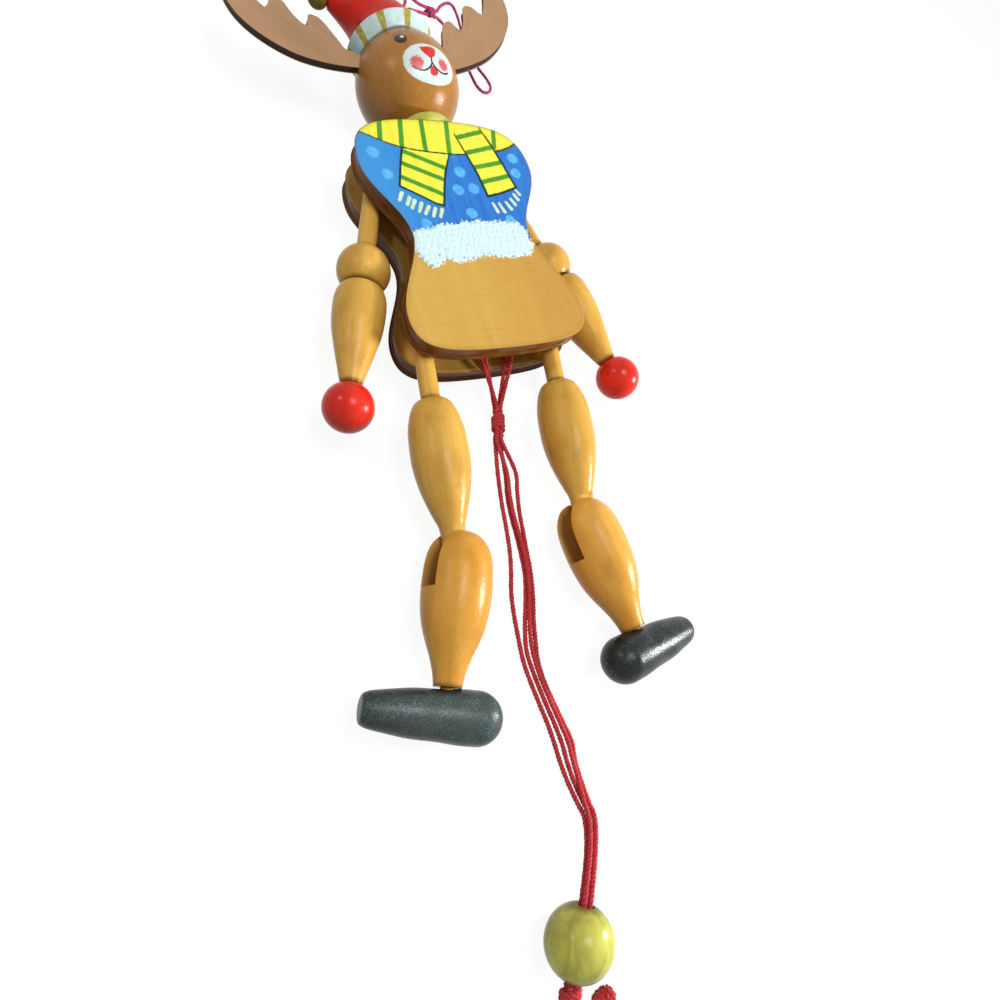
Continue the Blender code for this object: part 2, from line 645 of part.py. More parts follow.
def make_shin(thigh, index, label, sign, wood, steel):
    """Shin with its origin on the knee pin; its slotted ears straddle the tongue."""
    full = SHIN_RADIUS
    swell = [(-EAR_TOP, 0.0004), (-EAR_TOP + 0.0003, full - 0.0070),
             (-EAR_TOP + 0.0013, full - 0.0048), (-EAR_TOP + 0.0031, full - 0.0028),
             (-EAR_TOP + 0.0056, full - 0.0013), (-EAR_TOP + 0.0090, full - 0.0004),
             (SHIN_WIDEST, full), (SHIN_WIDEST + 0.0050, full - 0.0003),
             (SHIN_WIDEST + 0.0100, full - 0.0012), (SHIN_WIDEST + 0.0145, full - 0.0027),
             (SHIN_WIDEST + 0.0185, full - 0.0043), (SHIN_WIDEST + 0.0225, ANKLE_RADIUS + 0.0006),
             (ANKLE_DOWN, ANKLE_RADIUS)]
    profile = swell
    profile += [(ANKLE_DOWN, TENON_RADIUS), (ANKLE_DOWN + SHOE_TENON, TENON_RADIUS)]
    turn = sign * radians(SHIN_OUT[index] - THIGH_OUT[index])
    shin = add_object(f"shin_{label}", turned(profile), wood, thigh, (0, -KNEE_DOWN, 0),
                      (0, 0, turn))
    half = TONGUE_THICK / 2 + PLAY
    reach = 1.2 * full
    slot = box((-reach, -SLOT_FLOOR, -half), (reach, 2 * EAR_TOP, half))
    cut(shin, add_object(f"cut_slot_{label}", slot, wood, shin,
                         rotation=(0, radians(KNEE_TWIST[index]), 0)))
    cross_hole(f"cut_shin_pin_{label}", 0, KNEE_PIN_RADIUS + GAP, wood, shin,
               knee_axis(index), KNEE_PIN_HALF + GAP)
    pin = rod(KNEE_PIN_RADIUS, -KNEE_PIN_HALF, KNEE_PIN_HALF, knee_axis(index))
    add_object(f"knee_pin_{label}", pin, steel, shin)
    return shin


def make_shoe(shin, index, label, sign, black, wood):
    """Teardrop turned about the shoe's length, toe outward, seated on the ankle."""
    bulb_centre = SHOE_RADIUS - HEEL_BACK
    taper = [(bulb_centre, SHOE_RADIUS), (bulb_centre + 0.0050, SHOE_RADIUS - 0.0001),
             (bulb_centre + 0.0110, SHOE_RADIUS - 0.0006),
             (bulb_centre + 0.0180, SHOE_RADIUS - 0.0009),
             (bulb_centre + 0.0240, SHOE_RADIUS - 0.0017), (TOE_FRONT - 0.0026, TOE_RADIUS + 0.0005),
             (TOE_FRONT - 0.0009, TOE_RADIUS - 0.0001)]
    profile = arc(bulb_centre, SHOE_RADIUS, -HEEL_BACK, bulb_centre, 6)[:-1]
    profile += taper
    profile += [(TOE_FRONT - 0.0002, TOE_RADIUS - 0.0008), (TOE_FRONT, TOE_RADIUS - 0.0016)]
    toward = Vector((sign, 0, 0))
    drop = ANKLE_DOWN + SHOE_DROP
    lift = (0, -sign * radians(TOE_LIFT[index]), -sign * radians(TOE_DROP[index]))
    shoe = add_object(f"shoe_{label}", turned(profile, toward), black, shin, (0, -drop, 0), lift)
    seat = rod(ANKLE_RADIUS + GAP, -2 * SHOE_RADIUS, GAP - SHOE_DROP, steps=16)
    cut(shoe, add_object(f"cut_seat_{label}", seat, black, shin, (0, -drop, 0)))
    bore = rod(TENON_RADIUS + GAP, -SHOE_RADIUS, SHOE_TENON - SHOE_DROP + GAP)
    cut(shoe, add_object(f"cut_ankle_{label}", bore, wood, shin, (0, -drop, 0)))
    return shoe


# Knots and cords

def knot_frame(axis):
    """The knot's own directions: along its axis, to the side and upward."""
    along = Vector(axis).normalized()
    side = -along.cross(Vector((0, 0, 1))).normalized()
    return along, side, along.cross(side)


def ports(centre, axis, reach, space):
    """Four places on a square across the axis, reach from the centre, along it."""
    along, side, up = knot_frame(axis)
    middle = Vector(centre) + along * reach
    return [middle + (side * a + up * b) * space for a in (-1, 1) for b in (-1, 1)]


def make_knot(name, centre, axis, length, radius, mat, parent):
    """A barrel with flat ends, as long and thick as the knot."""
    along = Vector(axis).normalized()
    half = length / 2
    belly = [(-half, radius * 0.86), (-half * 0.5, radius), (half * 0.5, radius),
             (half, radius * 0.86)]
    profile = [tuple(p) for p in smooth_through(belly, 2)]
    turn = Vector((0, 0, 1)).rotation_difference(along).to_euler()
    return add_object(name, turned(profile, Vector((0, 0, 1)), 12), mat, parent, centre, turn)


def knot_end(centre, axis, length, end, space=STRAND_SPACE):
    """Where cords meet the flat end of a knot (end -1 or 1), square to it."""
    near = ports(centre, axis, end * (length / 2 + GAP), space)
    away = ports(centre, axis, end * (length / 2 + GAP + 2 * CORD), space)
    return near, away


def make_pull(ground, thread, bead_paint):
    """Cords from the levers to the knot, four strands to the bead and the ends past it."""
    make_knot("gather_knot", KNOT_CENTRE, KNOT_AXIS, KNOT_LENGTH, KNOT_RADIUS, thread, ground)
    top, above = knot_end(KNOT_CENTRE, KNOT_AXIS, KNOT_LENGTH, -1)
    foot, below = knot_end(KNOT_CENTRE, KNOT_AXIS, KNOT_LENGTH, 1)
    for name, port in (("arm_cord_left", 0), ("leg_cord_left", 1), ("arm_cord_right", 2),
                       ("leg_cord_right", 3)):
        cord(name, [*LEVER_ROUTES[name], above[port], top[port]], CORD, thread, ground)

    centre = Vector((*BEAD_CENTRE, BEAD_RADIUS))
    along, _, _ = knot_frame(BEAD_AXIS)
    ball = arc(0, BEAD_RADIUS, -BEAD_RADIUS, BEAD_RADIUS, 13)
    bead = add_object("pull_bead", turned(ball, along, 20), bead_paint, ground, centre)
    bore = rod(BEAD_HOLE, -2 * BEAD_RADIUS, 2 * BEAD_RADIUS, along)
    cut(bead, add_object("cut_bead", bore, bead_paint, ground, centre))

    reach = BEAD_RADIUS + GAP + BEAD_KNOT_LENGTH / 2
    knot_centre = centre - along * reach
    make_knot("bead_knot", knot_centre, BEAD_AXIS, BEAD_KNOT_LENGTH, BEAD_KNOT_RADIUS, thread,
              ground)
    inside, _ = knot_end(knot_centre, BEAD_AXIS, BEAD_KNOT_LENGTH, 1)
    stations = [ports(RISE_CENTRE, RISE_AXIS, 0.0, STRAND_SPACE)]
    stations += [ports(centre, BEAD_AXIS, share * BEAD_RADIUS, STRAND_SPACE)
                 for share in (1.25, 0.9, 0.3, -0.3)]
    for name, port, far in (("pull_strand_1", 0, 2), ("pull_strand_2", 1, 3),
                            ("pull_strand_3", 2, 0), ("pull_strand_4", 3, 1)):
        through = [station[far] for station in stations]
        cord(name, [foot[port], below[port], *STRAND_ROUTES[name], *through, inside[far]],
             CORD, thread, ground)

    make_knot("end_knot", END_KNOT_CENTRE, END_KNOT_AXIS, END_KNOT_LENGTH, END_KNOT_RADIUS,
              thread, ground)
    leave, after = knot_end(knot_centre, BEAD_AXIS, BEAD_KNOT_LENGTH, -1)
    arrive, before = knot_end(END_KNOT_CENTRE, END_KNOT_AXIS, END_KNOT_LENGTH, -1)
    for name, start, goal in (("tail_cord_1", 2, 0), ("tail_cord_2", 0, 2)):
        cord(name, [leave[start], after[start], *TAIL_ROUTES[name], before[goal],
                    arrive[goal]], CORD, thread, ground)


def make_hanger(ground, thread):
    """Cord through the eye to its knot, and the loop that lies behind the right antler."""
    make_knot("hanger_knot", HANGER_KNOT_CENTRE, HANGER_KNOT_AXIS, HANGER_KNOT_LENGTH,
              HANGER_KNOT_RADIUS, thread, ground)
    space = (HANGER_CORD + 2 * GAP) / 2
    top, above = knot_end(HANGER_KNOT_CENTRE, HANGER_KNOT_AXIS, HANGER_KNOT_LENGTH, -1, space)
    foot, below = knot_end(HANGER_KNOT_CENTRE, HANGER_KNOT_AXIS, HANGER_KNOT_LENGTH, 1, space)
    cord("hanger_cord", [top[0], above[0], *HANGER_CORD_ROUTE, above[3], top[3]], HANGER_CORD,
         thread, ground, 1.5)
    cord("hanger_loop", [foot[0], below[0], *HANGER_LOOP_ROUTE, below[3], foot[3]], HANGER_CORD,
         thread, ground)


# Routes, hand-placed points on and above the surface
LEVER_ROUTES = {
    "arm_cord_left": [(-0.0161, 0.0308, 0.0166), (-0.0144, 0.0290, 0.0165),
                      (-0.0130, 0.0225, 0.0160), (-0.0108, 0.0080, 0.0148),
                      (-0.0083, -0.0080, 0.0131), (-0.0056, -0.0240, 0.0113),
                      (-0.0036, -0.0360, 0.0101), (-0.0028, -0.0450, 0.0094)],
    "leg_cord_left": [(-0.0184, -0.0181, 0.0143), (-0.0165, -0.0190, 0.0140),
                      (-0.0140, -0.0228, 0.0133), (-0.0095, -0.0310, 0.0121),
                      (-0.0058, -0.0390, 0.0113), (-0.0044, -0.0460, 0.0103)],
    "arm_cord_right": [(0.0161, 0.0310, 0.0166), (0.0146, 0.0290, 0.0165),
                       (0.0136, 0.0225, 0.0160), (0.0122, 0.0080, 0.0148),
                       (0.0104, -0.0080, 0.0131), (0.0078, -0.0240, 0.0113),
                       (0.0056, -0.0360, 0.0101), (0.0034, -0.0460, 0.0093)],
    "leg_cord_right": [(0.0205, -0.0195, 0.0143), (0.0188, -0.0200, 0.0140),
                       (0.0160, -0.0235, 0.0133), (0.0120, -0.0310, 0.0123),
                       (0.0082, -0.0390, 0.0115), (0.0050, -0.0465, 0.0105)],
}
STRAND_ROUTES = {
    "pull_strand_1": [(-0.0076, -0.0785, 0.0009), (-0.0099, -0.0885, 0.0008),
                      (-0.0114, -0.0968, 0.0008), (-0.0131, -0.1048, 0.0008),
                      (-0.0150, -0.1109, 0.0008), (-0.0172, -0.1167, 0.0008),
                      (-0.0187, -0.1226, 0.0008), (-0.0200, -0.1301, 0.0008),
                      (-0.0210, -0.1372, 0.0008), (-0.0210, -0.1433, 0.0008),
                      (-0.0206, -0.1503, 0.0008), (-0.0202, -0.1563, 0.0008),
                      (-0.0202, -0.1617, 0.0008), (-0.0204, -0.1671, 0.0008),
                      (-0.0202, -0.1730, 0.0008), (-0.0196, -0.1785, 0.0009),
                      (-0.0194, -0.1836, 0.0016)],
    "pull_strand_2": [(-0.0054, -0.0800, 0.0025), (-0.0072, -0.0874, 0.0025),
                      (-0.0083, -0.0941, 0.0025), (-0.0088, -0.1008, 0.0025),
                      (-0.0094, -0.1073, 0.0025), (-0.0106, -0.1136, 0.0024),
                      (-0.0130, -0.1209, 0.0023), (-0.0157, -0.1279, 0.0022),
                      (-0.0176, -0.1349, 0.0022), (-0.0181, -0.1424, 0.0022),
                      (-0.0176, -0.1510, 0.0023), (-0.0170, -0.1570, 0.0023),
                      (-0.0166, -0.1627, 0.0023), (-0.0172, -0.1682, 0.0024),
                      (-0.0177, -0.1738, 0.0025), (-0.0183, -0.1790, 0.0027),
                      (-0.0190, -0.1838, 0.0034)],
    "pull_strand_3": [(-0.0052, -0.0800, 0.0008), (-0.0073, -0.0874, 0.0008),
                      (-0.0084, -0.0941, 0.0008), (-0.0090, -0.1008, 0.0008),
                      (-0.0098, -0.1073, 0.0008), (-0.0110, -0.1136, 0.0008),
                      (-0.0137, -0.1209, 0.0008), (-0.0167, -0.1279, 0.0008),
                      (-0.0189, -0.1349, 0.0008), (-0.0191, -0.1424, 0.0008),
                      (-0.0186, -0.1510, 0.0008), (-0.0181, -0.1570, 0.0008),
                      (-0.0179, -0.1627, 0.0008), (-0.0183, -0.1682, 0.0008),
                      (-0.0183, -0.1738, 0.0008), (-0.0178, -0.1790, 0.0009),
                      (-0.0176, -0.1840, 0.0016)],
    "pull_strand_4": [(-0.0014, -0.0797, 0.0010), (-0.0032, -0.0865, 0.0008),
                      (-0.0050, -0.0931, 0.0008), (-0.0062, -0.0997, 0.0008),
                      (-0.0074, -0.1062, 0.0008), (-0.0086, -0.1127, 0.0008),
                      (-0.0107, -0.1202, 0.0008), (-0.0133, -0.1273, 0.0008),
                      (-0.0150, -0.1332, 0.0008), (-0.0164, -0.1386, 0.0008),
                      (-0.0167, -0.1447, 0.0008), (-0.0160, -0.1518, 0.0008),
                      (-0.0153, -0.1577, 0.0008), (-0.0147, -0.1632, 0.0008),
                      (-0.0158, -0.1688, 0.0009), (-0.0163, -0.1743, 0.0013),
                      (-0.0167, -0.1793, 0.0022), (-0.0172, -0.1842, 0.0034)],
}
TAIL_ROUTES = {
    "tail_cord_1": [(-0.0438, -0.2225, 0.0016), (-0.0425, -0.2255, 0.0009)],
    "tail_cord_2": [(-0.0417, -0.2222, 0.0016), (-0.0406, -0.2238, 0.0010)],
}
HANGER_CORD_ROUTE = [
    (0.0245, 0.1140, 0.0115), (0.0190, 0.1107, 0.0158), (0.0138, 0.1048, 0.0194),
    (0.0110, 0.0990, 0.0210), (0.0092, 0.0963, 0.0212), (0.0081, 0.0950, 0.0198),
    (0.0092, 0.0963, 0.0183), (0.0117, 0.0990, 0.0181), (0.0158, 0.1048, 0.0158),
    (0.0208, 0.1094, 0.0120), (0.0256, 0.1124, 0.0085)]
HANGER_LOOP_ROUTE = [
    (0.0385, 0.1230, 0.0062), (0.0430, 0.1268, 0.0054), (0.0462, 0.1270, 0.0046),
    (0.0475, 0.1225, 0.0034), (0.0478, 0.1170, 0.0020), (0.0480, 0.1110, 0.0011),
    (0.0485, 0.1040, 0.0008), (0.0496, 0.0975, 0.0008), (0.0514, 0.0925, 0.0008),
    (0.0518, 0.0880, 0.0008), (0.0500, 0.0850, 0.0008), (0.0472, 0.0845, 0.0008),
    (0.0452, 0.0875, 0.0008), (0.0446, 0.0925, 0.0008), (0.0443, 0.0985, 0.0008),
    (0.0435, 0.1040, 0.0011), (0.0425, 0.1090, 0.0020), (0.0400, 0.1130, 0.0034)]

CORD_NODES = {*LEVER_ROUTES, *STRAND_ROUTES, *TAIL_ROUTES, "gather_knot", "pull_bead",
              "bead_knot", "end_knot", "hanger_cord", "hanger_loop", "hanger_knot"}


def lay_down():
    """Tilt and height of the toy: the head and the first of its calves, heels and toes touch.

    A ball of radius r at (y, z) touches when (head_y - y) sin tilt - z cos tilt = R - r.
    """
    head_y = HEAD_CENTRE[1]
    tilts = []
    for index, _, sign in SIDES:
        thigh = Matrix.Rotation(sign * radians(THIGH_OUT[index]), 2)
        shin = Matrix.Rotation(sign * radians(SHIN_OUT[index]), 2)
        knee = Vector((0, HIP_PIN[1])) + thigh @ Vector((0, -KNEE_DOWN))
        lift, drop = radians(TOE_LIFT[index]), radians(TOE_DROP[index])
        touching = [(Vector((0, -SHIN_WIDEST - CALF_BELOW)), 0.0, SHIN_RADIUS)]
        for reach, radius in ((SHOE_RADIUS - HEEL_BACK, SHOE_RADIUS),
                              (TOE_FRONT - TOE_RADIUS / 4, TOE_RADIUS)):
            level = reach * cos(lift)
            place = Vector((sign * level * cos(drop), -ANKLE_DOWN - SHOE_DROP - level * sin(drop)))
            touching.append((place, reach * sin(lift), radius))
        for place, height, radius in touching:
            run = head_y - (knee + shin @ place).y
            reach = sqrt(run ** 2 + height ** 2)
            tilts.append(asin((HEAD_RADIUS - radius) / reach) + atan2(height, run))
    tilt = min(tilts)
    print("tilts", [round(degrees(t), 3) for t in tilts])
    return tilt, HEAD_RADIUS - head_y * sin(tilt)


def centre_on_origin(ground):
    """Move everything so that the toy's box, without its cords, is centred on the origin."""
    bpy.context.view_layer.update()
    graph = bpy.context.evaluated_depsgraph_get()
    corners = []
    for obj in bpy.context.scene.objects:
        if obj.type == "MESH" and not obj.hide_render and obj.name not in CORD_NODES:
            shape = obj.evaluated_get(graph).data
            corners += [obj.matrix_world @ v.co for v in shape.vertices]
    low = [min(c[i] for c in corners) for i in range(3)]
    high = [max(c[i] for c in corners) for i in range(3)]
    ground.location = (-(low[0] + high[0]) / 2, -(low[1] + high[1]) / 2, 0)
    bpy.context.view_layer.update()
    print("box", [round(h - l, 4) for l, h in zip(low, high)], "lowest", round(low[2], 5))
    print("shift", [round(v, 5) for v in ground.location])


def main():
    clear_scene()
    wood = material("varnished_wood", (0.42, 0.22, 0.05), 0.30)
    inner_wood = material("plain_wood", (0.60, 0.42, 0.20), 0.60)
    painted = material("painted_front", (0.10, 0.28, 0.62), 0.40)
    yellow = material("collar_yellow_green", (0.55, 0.60, 0.08), 0.40)
    head_wood = material("head_wood", (0.40, 0.20, 0.04), 0.28)
    stain = material("antler_stain", (0.50, 0.28, 0.16), 0.50)
    red = material("red_paint", (0.70, 0.03, 0.02), 0.25)
    hat_red = material("hat_red", (0.70, 0.02, 0.01), 0.35)
    white = material("cuff_white", (0.62, 0.78, 0.74), 0.50)
    gold = material("gold_paint", (0.35, 0.28, 0.05), 0.40)
    black = material("black_paint", (0.01, 0.013, 0.014), 0.20)
    olive = material("bead_gold_green", (0.38, 0.36, 0.05), 0.30)
    crimson = material("crimson_thread", (0.42, 0.02, 0.03), 0.85)
    pink = material("pink_thread", (0.38, 0.03, 0.10), 0.85)
    steel = material("steel_wire", (0.35, 0.33, 0.30), 0.35, 1.0)

    ground = empty("ground")
    tilt, height = lay_down()
    toy = empty("toy", ground, (0, 0, height), (tilt, 0, 0))
    make_boards(toy, wood, painted)
    make_pins(toy, steel, inner_wood)
    neck_bore = make_neck(toy, inner_wood, yellow)
    frame, head, hat_bore = make_head(toy, head_wood, neck_bore)
    make_antlers(frame, head, stain)
    make_hat(frame, white, hat_red, gold, steel, hat_bore)
    pivots = {}
    for index, label, sign in SIDES:
        arm = make_arm(toy, index, label, sign, wood, red)
        thigh = make_thigh(toy, index, label, sign, wood)
        shin = make_shin(thigh, index, label, sign, wood, steel)
        make_shoe(shin, index, label, sign, black, wood)
        pivots.update({f"shoulder_{label}": arm, f"hip_{label}": thigh, f"knee_{label}": shin})
    make_pull(ground, crimson, olive)
    make_hanger(ground, pink)
    centre_on_origin(ground)

    print("tilt", round(degrees(tilt), 4), "height", round(height, 6))
    print("joint axis", [round(v, 6) for v in toy.matrix_world.to_3x3() @ Vector((0, 0, 1))])
    for name, obj in pivots.items():
        print("joint", name, [round(v, 6) for v in obj.matrix_world.translation])
    for index, label, _ in SIDES:
        shin_way = pivots[f"knee_{label}"].matrix_world.to_3x3()
        print("knee axis", label, [round(v, 6) for v in shin_way @ knee_axis(index)])


main()
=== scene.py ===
# %% [markdown]
# A jumping jack toy: a wooden figure whose arms and legs hang between two boards.
# It lies on its back on a pale surface, with its pull cord and bead spread out below it.
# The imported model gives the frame: every solid, its body and its joints, in metres.
# This lesson dresses that frame. Each piece is worked out as a surface with numpy, in
# millimetres, and is then laid down where its solid lies.

# %% Load the frame
from math import atan2, cos, pi, radians, sin, sqrt

import bpy
import numpy as np
from mathutils import Matrix, Vector


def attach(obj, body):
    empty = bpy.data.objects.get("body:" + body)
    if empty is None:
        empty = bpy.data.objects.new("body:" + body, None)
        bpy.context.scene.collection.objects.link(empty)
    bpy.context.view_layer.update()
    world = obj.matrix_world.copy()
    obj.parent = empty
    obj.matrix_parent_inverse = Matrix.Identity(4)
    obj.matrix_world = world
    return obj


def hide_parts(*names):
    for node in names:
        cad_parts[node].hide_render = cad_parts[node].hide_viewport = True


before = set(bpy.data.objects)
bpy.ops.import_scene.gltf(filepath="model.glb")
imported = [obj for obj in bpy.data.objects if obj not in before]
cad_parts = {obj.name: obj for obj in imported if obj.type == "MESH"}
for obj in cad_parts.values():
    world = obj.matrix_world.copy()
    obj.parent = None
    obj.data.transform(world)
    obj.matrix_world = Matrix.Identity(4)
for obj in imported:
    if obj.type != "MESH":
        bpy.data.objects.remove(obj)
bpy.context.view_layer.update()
scene = bpy.context.scene
scene.view_settings.view_transform = "Standard"

# %% [markdown]
# The toy has a frame of its own, in which its boards are level and its middle is zero:
# x to the right of the painted front, y to the head and z out of the front. The real toy
# rests on the back of its head, on its shins and on one shoe, so that frame is tilted by a
# few degrees and lifted. One function takes an array of points in it to the scene, all at
# once. The cords lie on the surface by themselves, so they are shifted but not tilted.

# %% From the toy's millimetres to the scene's metres
TILT = radians(2.6184)
LIFT = 15.322
SHIFT_X = 11.01
SHIFT_Y = 24.04


def laid(points):
    """Toy points to scene points: turned about x by the tilt, then lifted and shifted."""
    x, y, z = np.moveaxis(np.asarray(points, float), -1, 0)
    return np.stack([x + SHIFT_X, y * cos(TILT) - z * sin(TILT) + SHIFT_Y,
                     y * sin(TILT) + z * cos(TILT) + LIFT], -1) / 1000


def on_ground(points):
    """Points that lie on the surface by themselves: only shifted."""
    return (np.asarray(points, float) + [SHIFT_X, SHIFT_Y, 0]) / 1000


def swung(points, degrees_out, pivot):
    """Turned about z by an angle and moved to a pivot, within the toy's own frame."""
    a = radians(degrees_out)
    x, y, z = np.moveaxis(np.asarray(points, float), -1, 0)
    turned_points = np.stack([x * cos(a) - y * sin(a), x * sin(a) + y * cos(a), z], -1)
    return turned_points + np.asarray(pivot, float)


# %% [markdown]
# The camera comes first, because every later choice is judged through it. The picture was
# taken from close by, above the lower left of the toy and looking to its upper right, with
# a wide lens, so the head is far smaller in it than its size. Its place and its three
# directions were solved from the two faces of the front board, the balls and the shoes.

# %% The camera
FOCAL_PIXELS = 650.75
FRAME_PIXELS = 1000
SENSOR = 36.0
CAMERA_PLACE = (-106.0, -125.0, 170.25)
CAMERA_RIGHT = (0.8646, -0.3102, 0.3954)
CAMERA_DOWN = (-0.2002, -0.9342, -0.2951)
CLIP_START = 0.01


def make_camera():
    """A pinhole camera from its place and two directions, squared up, in the toy's frame."""
    right = np.array(CAMERA_RIGHT) / np.linalg.norm(CAMERA_RIGHT)
    up = -np.array(CAMERA_DOWN)
    up = up - right * up.dot(right)
    up = up / np.linalg.norm(up)
    back = np.cross(right, up)
    origin = laid([0.0, 0.0, 0.0])
    axes = [(laid(v * 1000) - origin) for v in (right, up, back)]
    data = bpy.data.cameras.new("camera")
    data.sensor_width = SENSOR
    data.lens = SENSOR * FOCAL_PIXELS / FRAME_PIXELS
    data.clip_start = CLIP_START
    camera = bpy.data.objects.new("camera", data)
    place = laid(CAMERA_PLACE)
    camera.matrix_world = Matrix([[axes[0][i], axes[1][i], axes[2][i], place[i]]
                                  for i in range(3)] + [[0, 0, 0, 1]])
    scene.collection.objects.link(camera)
    scene.camera = camera
    return camera


make_camera()
print("lens", round(SENSOR * FOCAL_PIXELS / FRAME_PIXELS, 2), "mm")

# %% [markdown]
# A few small tools make every mesh here. A grid of points becomes quads by counting its
# corners, all as arrays. A piece gets its points, its faces, its materials and any values
# that a material reads from it, such as the distance to a painted line. The shape's
# signed volume tells whether its faces point outwards, and they are turned if not.

# %% Mesh tools


def grid_faces(rows, columns, closed=True):
    """Corner numbers of the quads of a grid; closed joins the last column to the first."""
    i, j = np.meshgrid(np.arange(rows - 1), np.arange(columns if closed else columns - 1),
                       indexing="ij")
    k = (j + 1) % columns
    return np.stack([i * columns + j, i * columns + k, (i + 1) * columns + k,
                     (i + 1) * columns + j], -1).reshape(-1, 4).tolist()


def tube_faces(rows, columns):
    """A closed tube of rings with a fan of triangles to a pole at each end.

    The poles are the last two points: first the start's, then the end's.
    """
    j = np.arange(columns)
    k = (j + 1) % columns
    start = rows * columns
    first = np.stack([np.full(columns, start), k, j], -1)
    last = (rows - 1) * columns
    second = np.stack([np.full(columns, start + 1), last + j, last + k], -1)
    return grid_faces(rows, columns) + first.tolist() + second.tolist()


def with_poles(rings):
    """The points of a grid of rings, with the middle of its first and last ring added."""
    poles = np.stack([rings[0].mean(0), rings[-1].mean(0)])
    return np.concatenate([rings.reshape(-1, 3), poles])


def signed_volume(points, faces):
    """Six times the volume: the sum of the triple products of each face's fan."""
    total = 0.0
    for size in sorted({len(f) for f in faces}):
        same = np.array([f for f in faces if len(f) == size])
        a = points[same[:, 0]]
        for n in range(1, size - 1):
            total += np.einsum("ij,ij->i", a, np.cross(points[same[:, n]],
                                                       points[same[:, n + 1]])).sum()
    return total


def add_piece(name, points, faces, material, body, replaces=(), values=None,
              sharp=None):
    """A mesh object in the scene's metres that rides on a body and stands for solids."""
    if signed_volume(points, faces) < 0:
        faces = [f[::-1] for f in faces]
    mesh = bpy.data.meshes.new(name)
    mesh.from_pydata(points.tolist(), [], faces)
    for m in material if isinstance(material, (list, tuple)) else [material]:
        mesh.materials.append(m)
    mesh.shade_smooth()
    if sharp:
        mesh.set_sharp_from_angle(angle=radians(sharp))
    for key, array in (values or {}).items():
        array = np.asarray(array, np.float32)
        kind, field = ("FLOAT_VECTOR", "vector") if array.ndim == 2 else ("FLOAT", "value")
        layer = mesh.attributes.new(key, kind, "POINT")
        layer.data.foreach_set(field, array.ravel())
    piece = bpy.data.objects.new(name, mesh)
    scene.collection.objects.link(piece)
    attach(piece, body)
    if replaces:
        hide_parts(*replaces)
    return piece


# %% [markdown]
# Most of the figure was turned on a lathe, so most of it is a profile spun round a line.
# A profile is written as a few (distance, radius) pairs in millimetres. Each stretch is
# smoothed by a Catmull-Rom curve, and stretches meet in a crease, as at a turned groove.

# %% Curves and turned shapes
SPAN_SAMPLES = 24


def smooth(points, step):
    """A Catmull-Rom curve through the points, resampled about one step apart.

    Between p1 and p2 it is half of 2 p1 + (p2 - p0) t + (2 p0 - 5 p1 + 4 p2 - p3) t^2
    + (3 p1 - p0 - 3 p2 + p3) t^3, with both ends continued straight.
    """
    p = np.asarray(points, float)
    p = np.concatenate([[2 * p[0] - p[1]], p, [2 * p[-1] - p[-2]]])
    t = np.linspace(0, 1, SPAN_SAMPLES, endpoint=False)[:, None]
    spans = [0.5 * (2 * b + (c - a) * t + (2 * a - 5 * b + 4 * c - d) * t ** 2
                    + (3 * b - a - 3 * c + d) * t ** 3)
             for a, b, c, d in zip(p, p[1:], p[2:], p[3:])]
    return resampled(np.concatenate(spans + [p[-2:-1]]), step)


def resampled(curve, step):
    """The same curve with points evenly spaced along it, about one step apart."""
    along = np.concatenate([[0], np.cumsum(np.linalg.norm(np.diff(curve, axis=0), axis=1))])
    goal = np.linspace(0, along[-1], max(2, round(along[-1] / step)) + 1)
    return np.stack([np.interp(goal, along, c) for c in curve.T], -1)


def arc(radius, start, end, count):
    """(distance, radius) pairs of a ball's profile: r cos u, r sin u from start to end."""
    u = np.linspace(start, end, count)
    return np.stack([radius * np.cos(u), radius * np.sin(u)], -1)


def ball_arc(centre, radius, start, end, count=24):
    """The same for a ball with its centre elsewhere, between two distances on its axis."""
    first, last = (atan2(sqrt(max(0.0, radius ** 2 - (d - centre) ** 2)), d - centre)
                   for d in (start, end))
    pairs = arc(radius, first, last, count + 1)
    return np.column_stack([centre + pairs[:, 0], np.maximum(pairs[:, 1], 0)])


def spun(profile, around=72):
    """Spin (distance d, radius r) pairs round the limb's own line, which runs to -y.

    Point = (r cos u, -d, r sin u), one ring for each pair.
    """
    d, r = np.asarray(profile, float).T
    u = np.linspace(0, 2 * pi, around, endpoint=False)
    return np.stack([r[:, None] * np.cos(u), -d[:, None] * np.ones(around),
                     r[:, None] * np.sin(u)], -1)


# %% [markdown]
# Colours are written as the sRGB hex values that a paint chart gives, and Blender mixes
# light in linear values, so one function turns them. One more adds a node to a material,
# sets its inputs, and links them, which keeps every material a short list of layers.

# %% Material tools


def colour(hex_value, alpha=1.0):
    """sRGB hex to linear: c / 12.92 below 0.04045, else ((c + 0.055) / 1.055) ^ 2.4."""
    c = np.array([int(hex_value[i:i + 2], 16) for i in (1, 3, 5)]) / 255
    return (*np.where(c <= 0.04045, c / 12.92, ((c + 0.055) / 1.055) ** 2.4).tolist(), alpha)


def add_node(material, kind, settings=None, **inputs):
    """A node of a material or world, with its settings and inputs.

    An input is a plain value or a socket, named as on the node, or n0, n1 by its number.
    """
    node = material.node_tree.nodes.new("ShaderNode" + kind)
    for key, value in (settings or {}).items():
        setattr(node, key, value)
    for key, value in inputs.items():
        key = key.replace("_", " ")
        socket = node.inputs[int(key[1:])] if key[0] == "n" and key[1:].isdigit() else (
            node.inputs[key])
        if isinstance(value, bpy.types.NodeSocket):
            material.node_tree.links.new(value, socket)
        else:
            socket.default_value = value
    return node


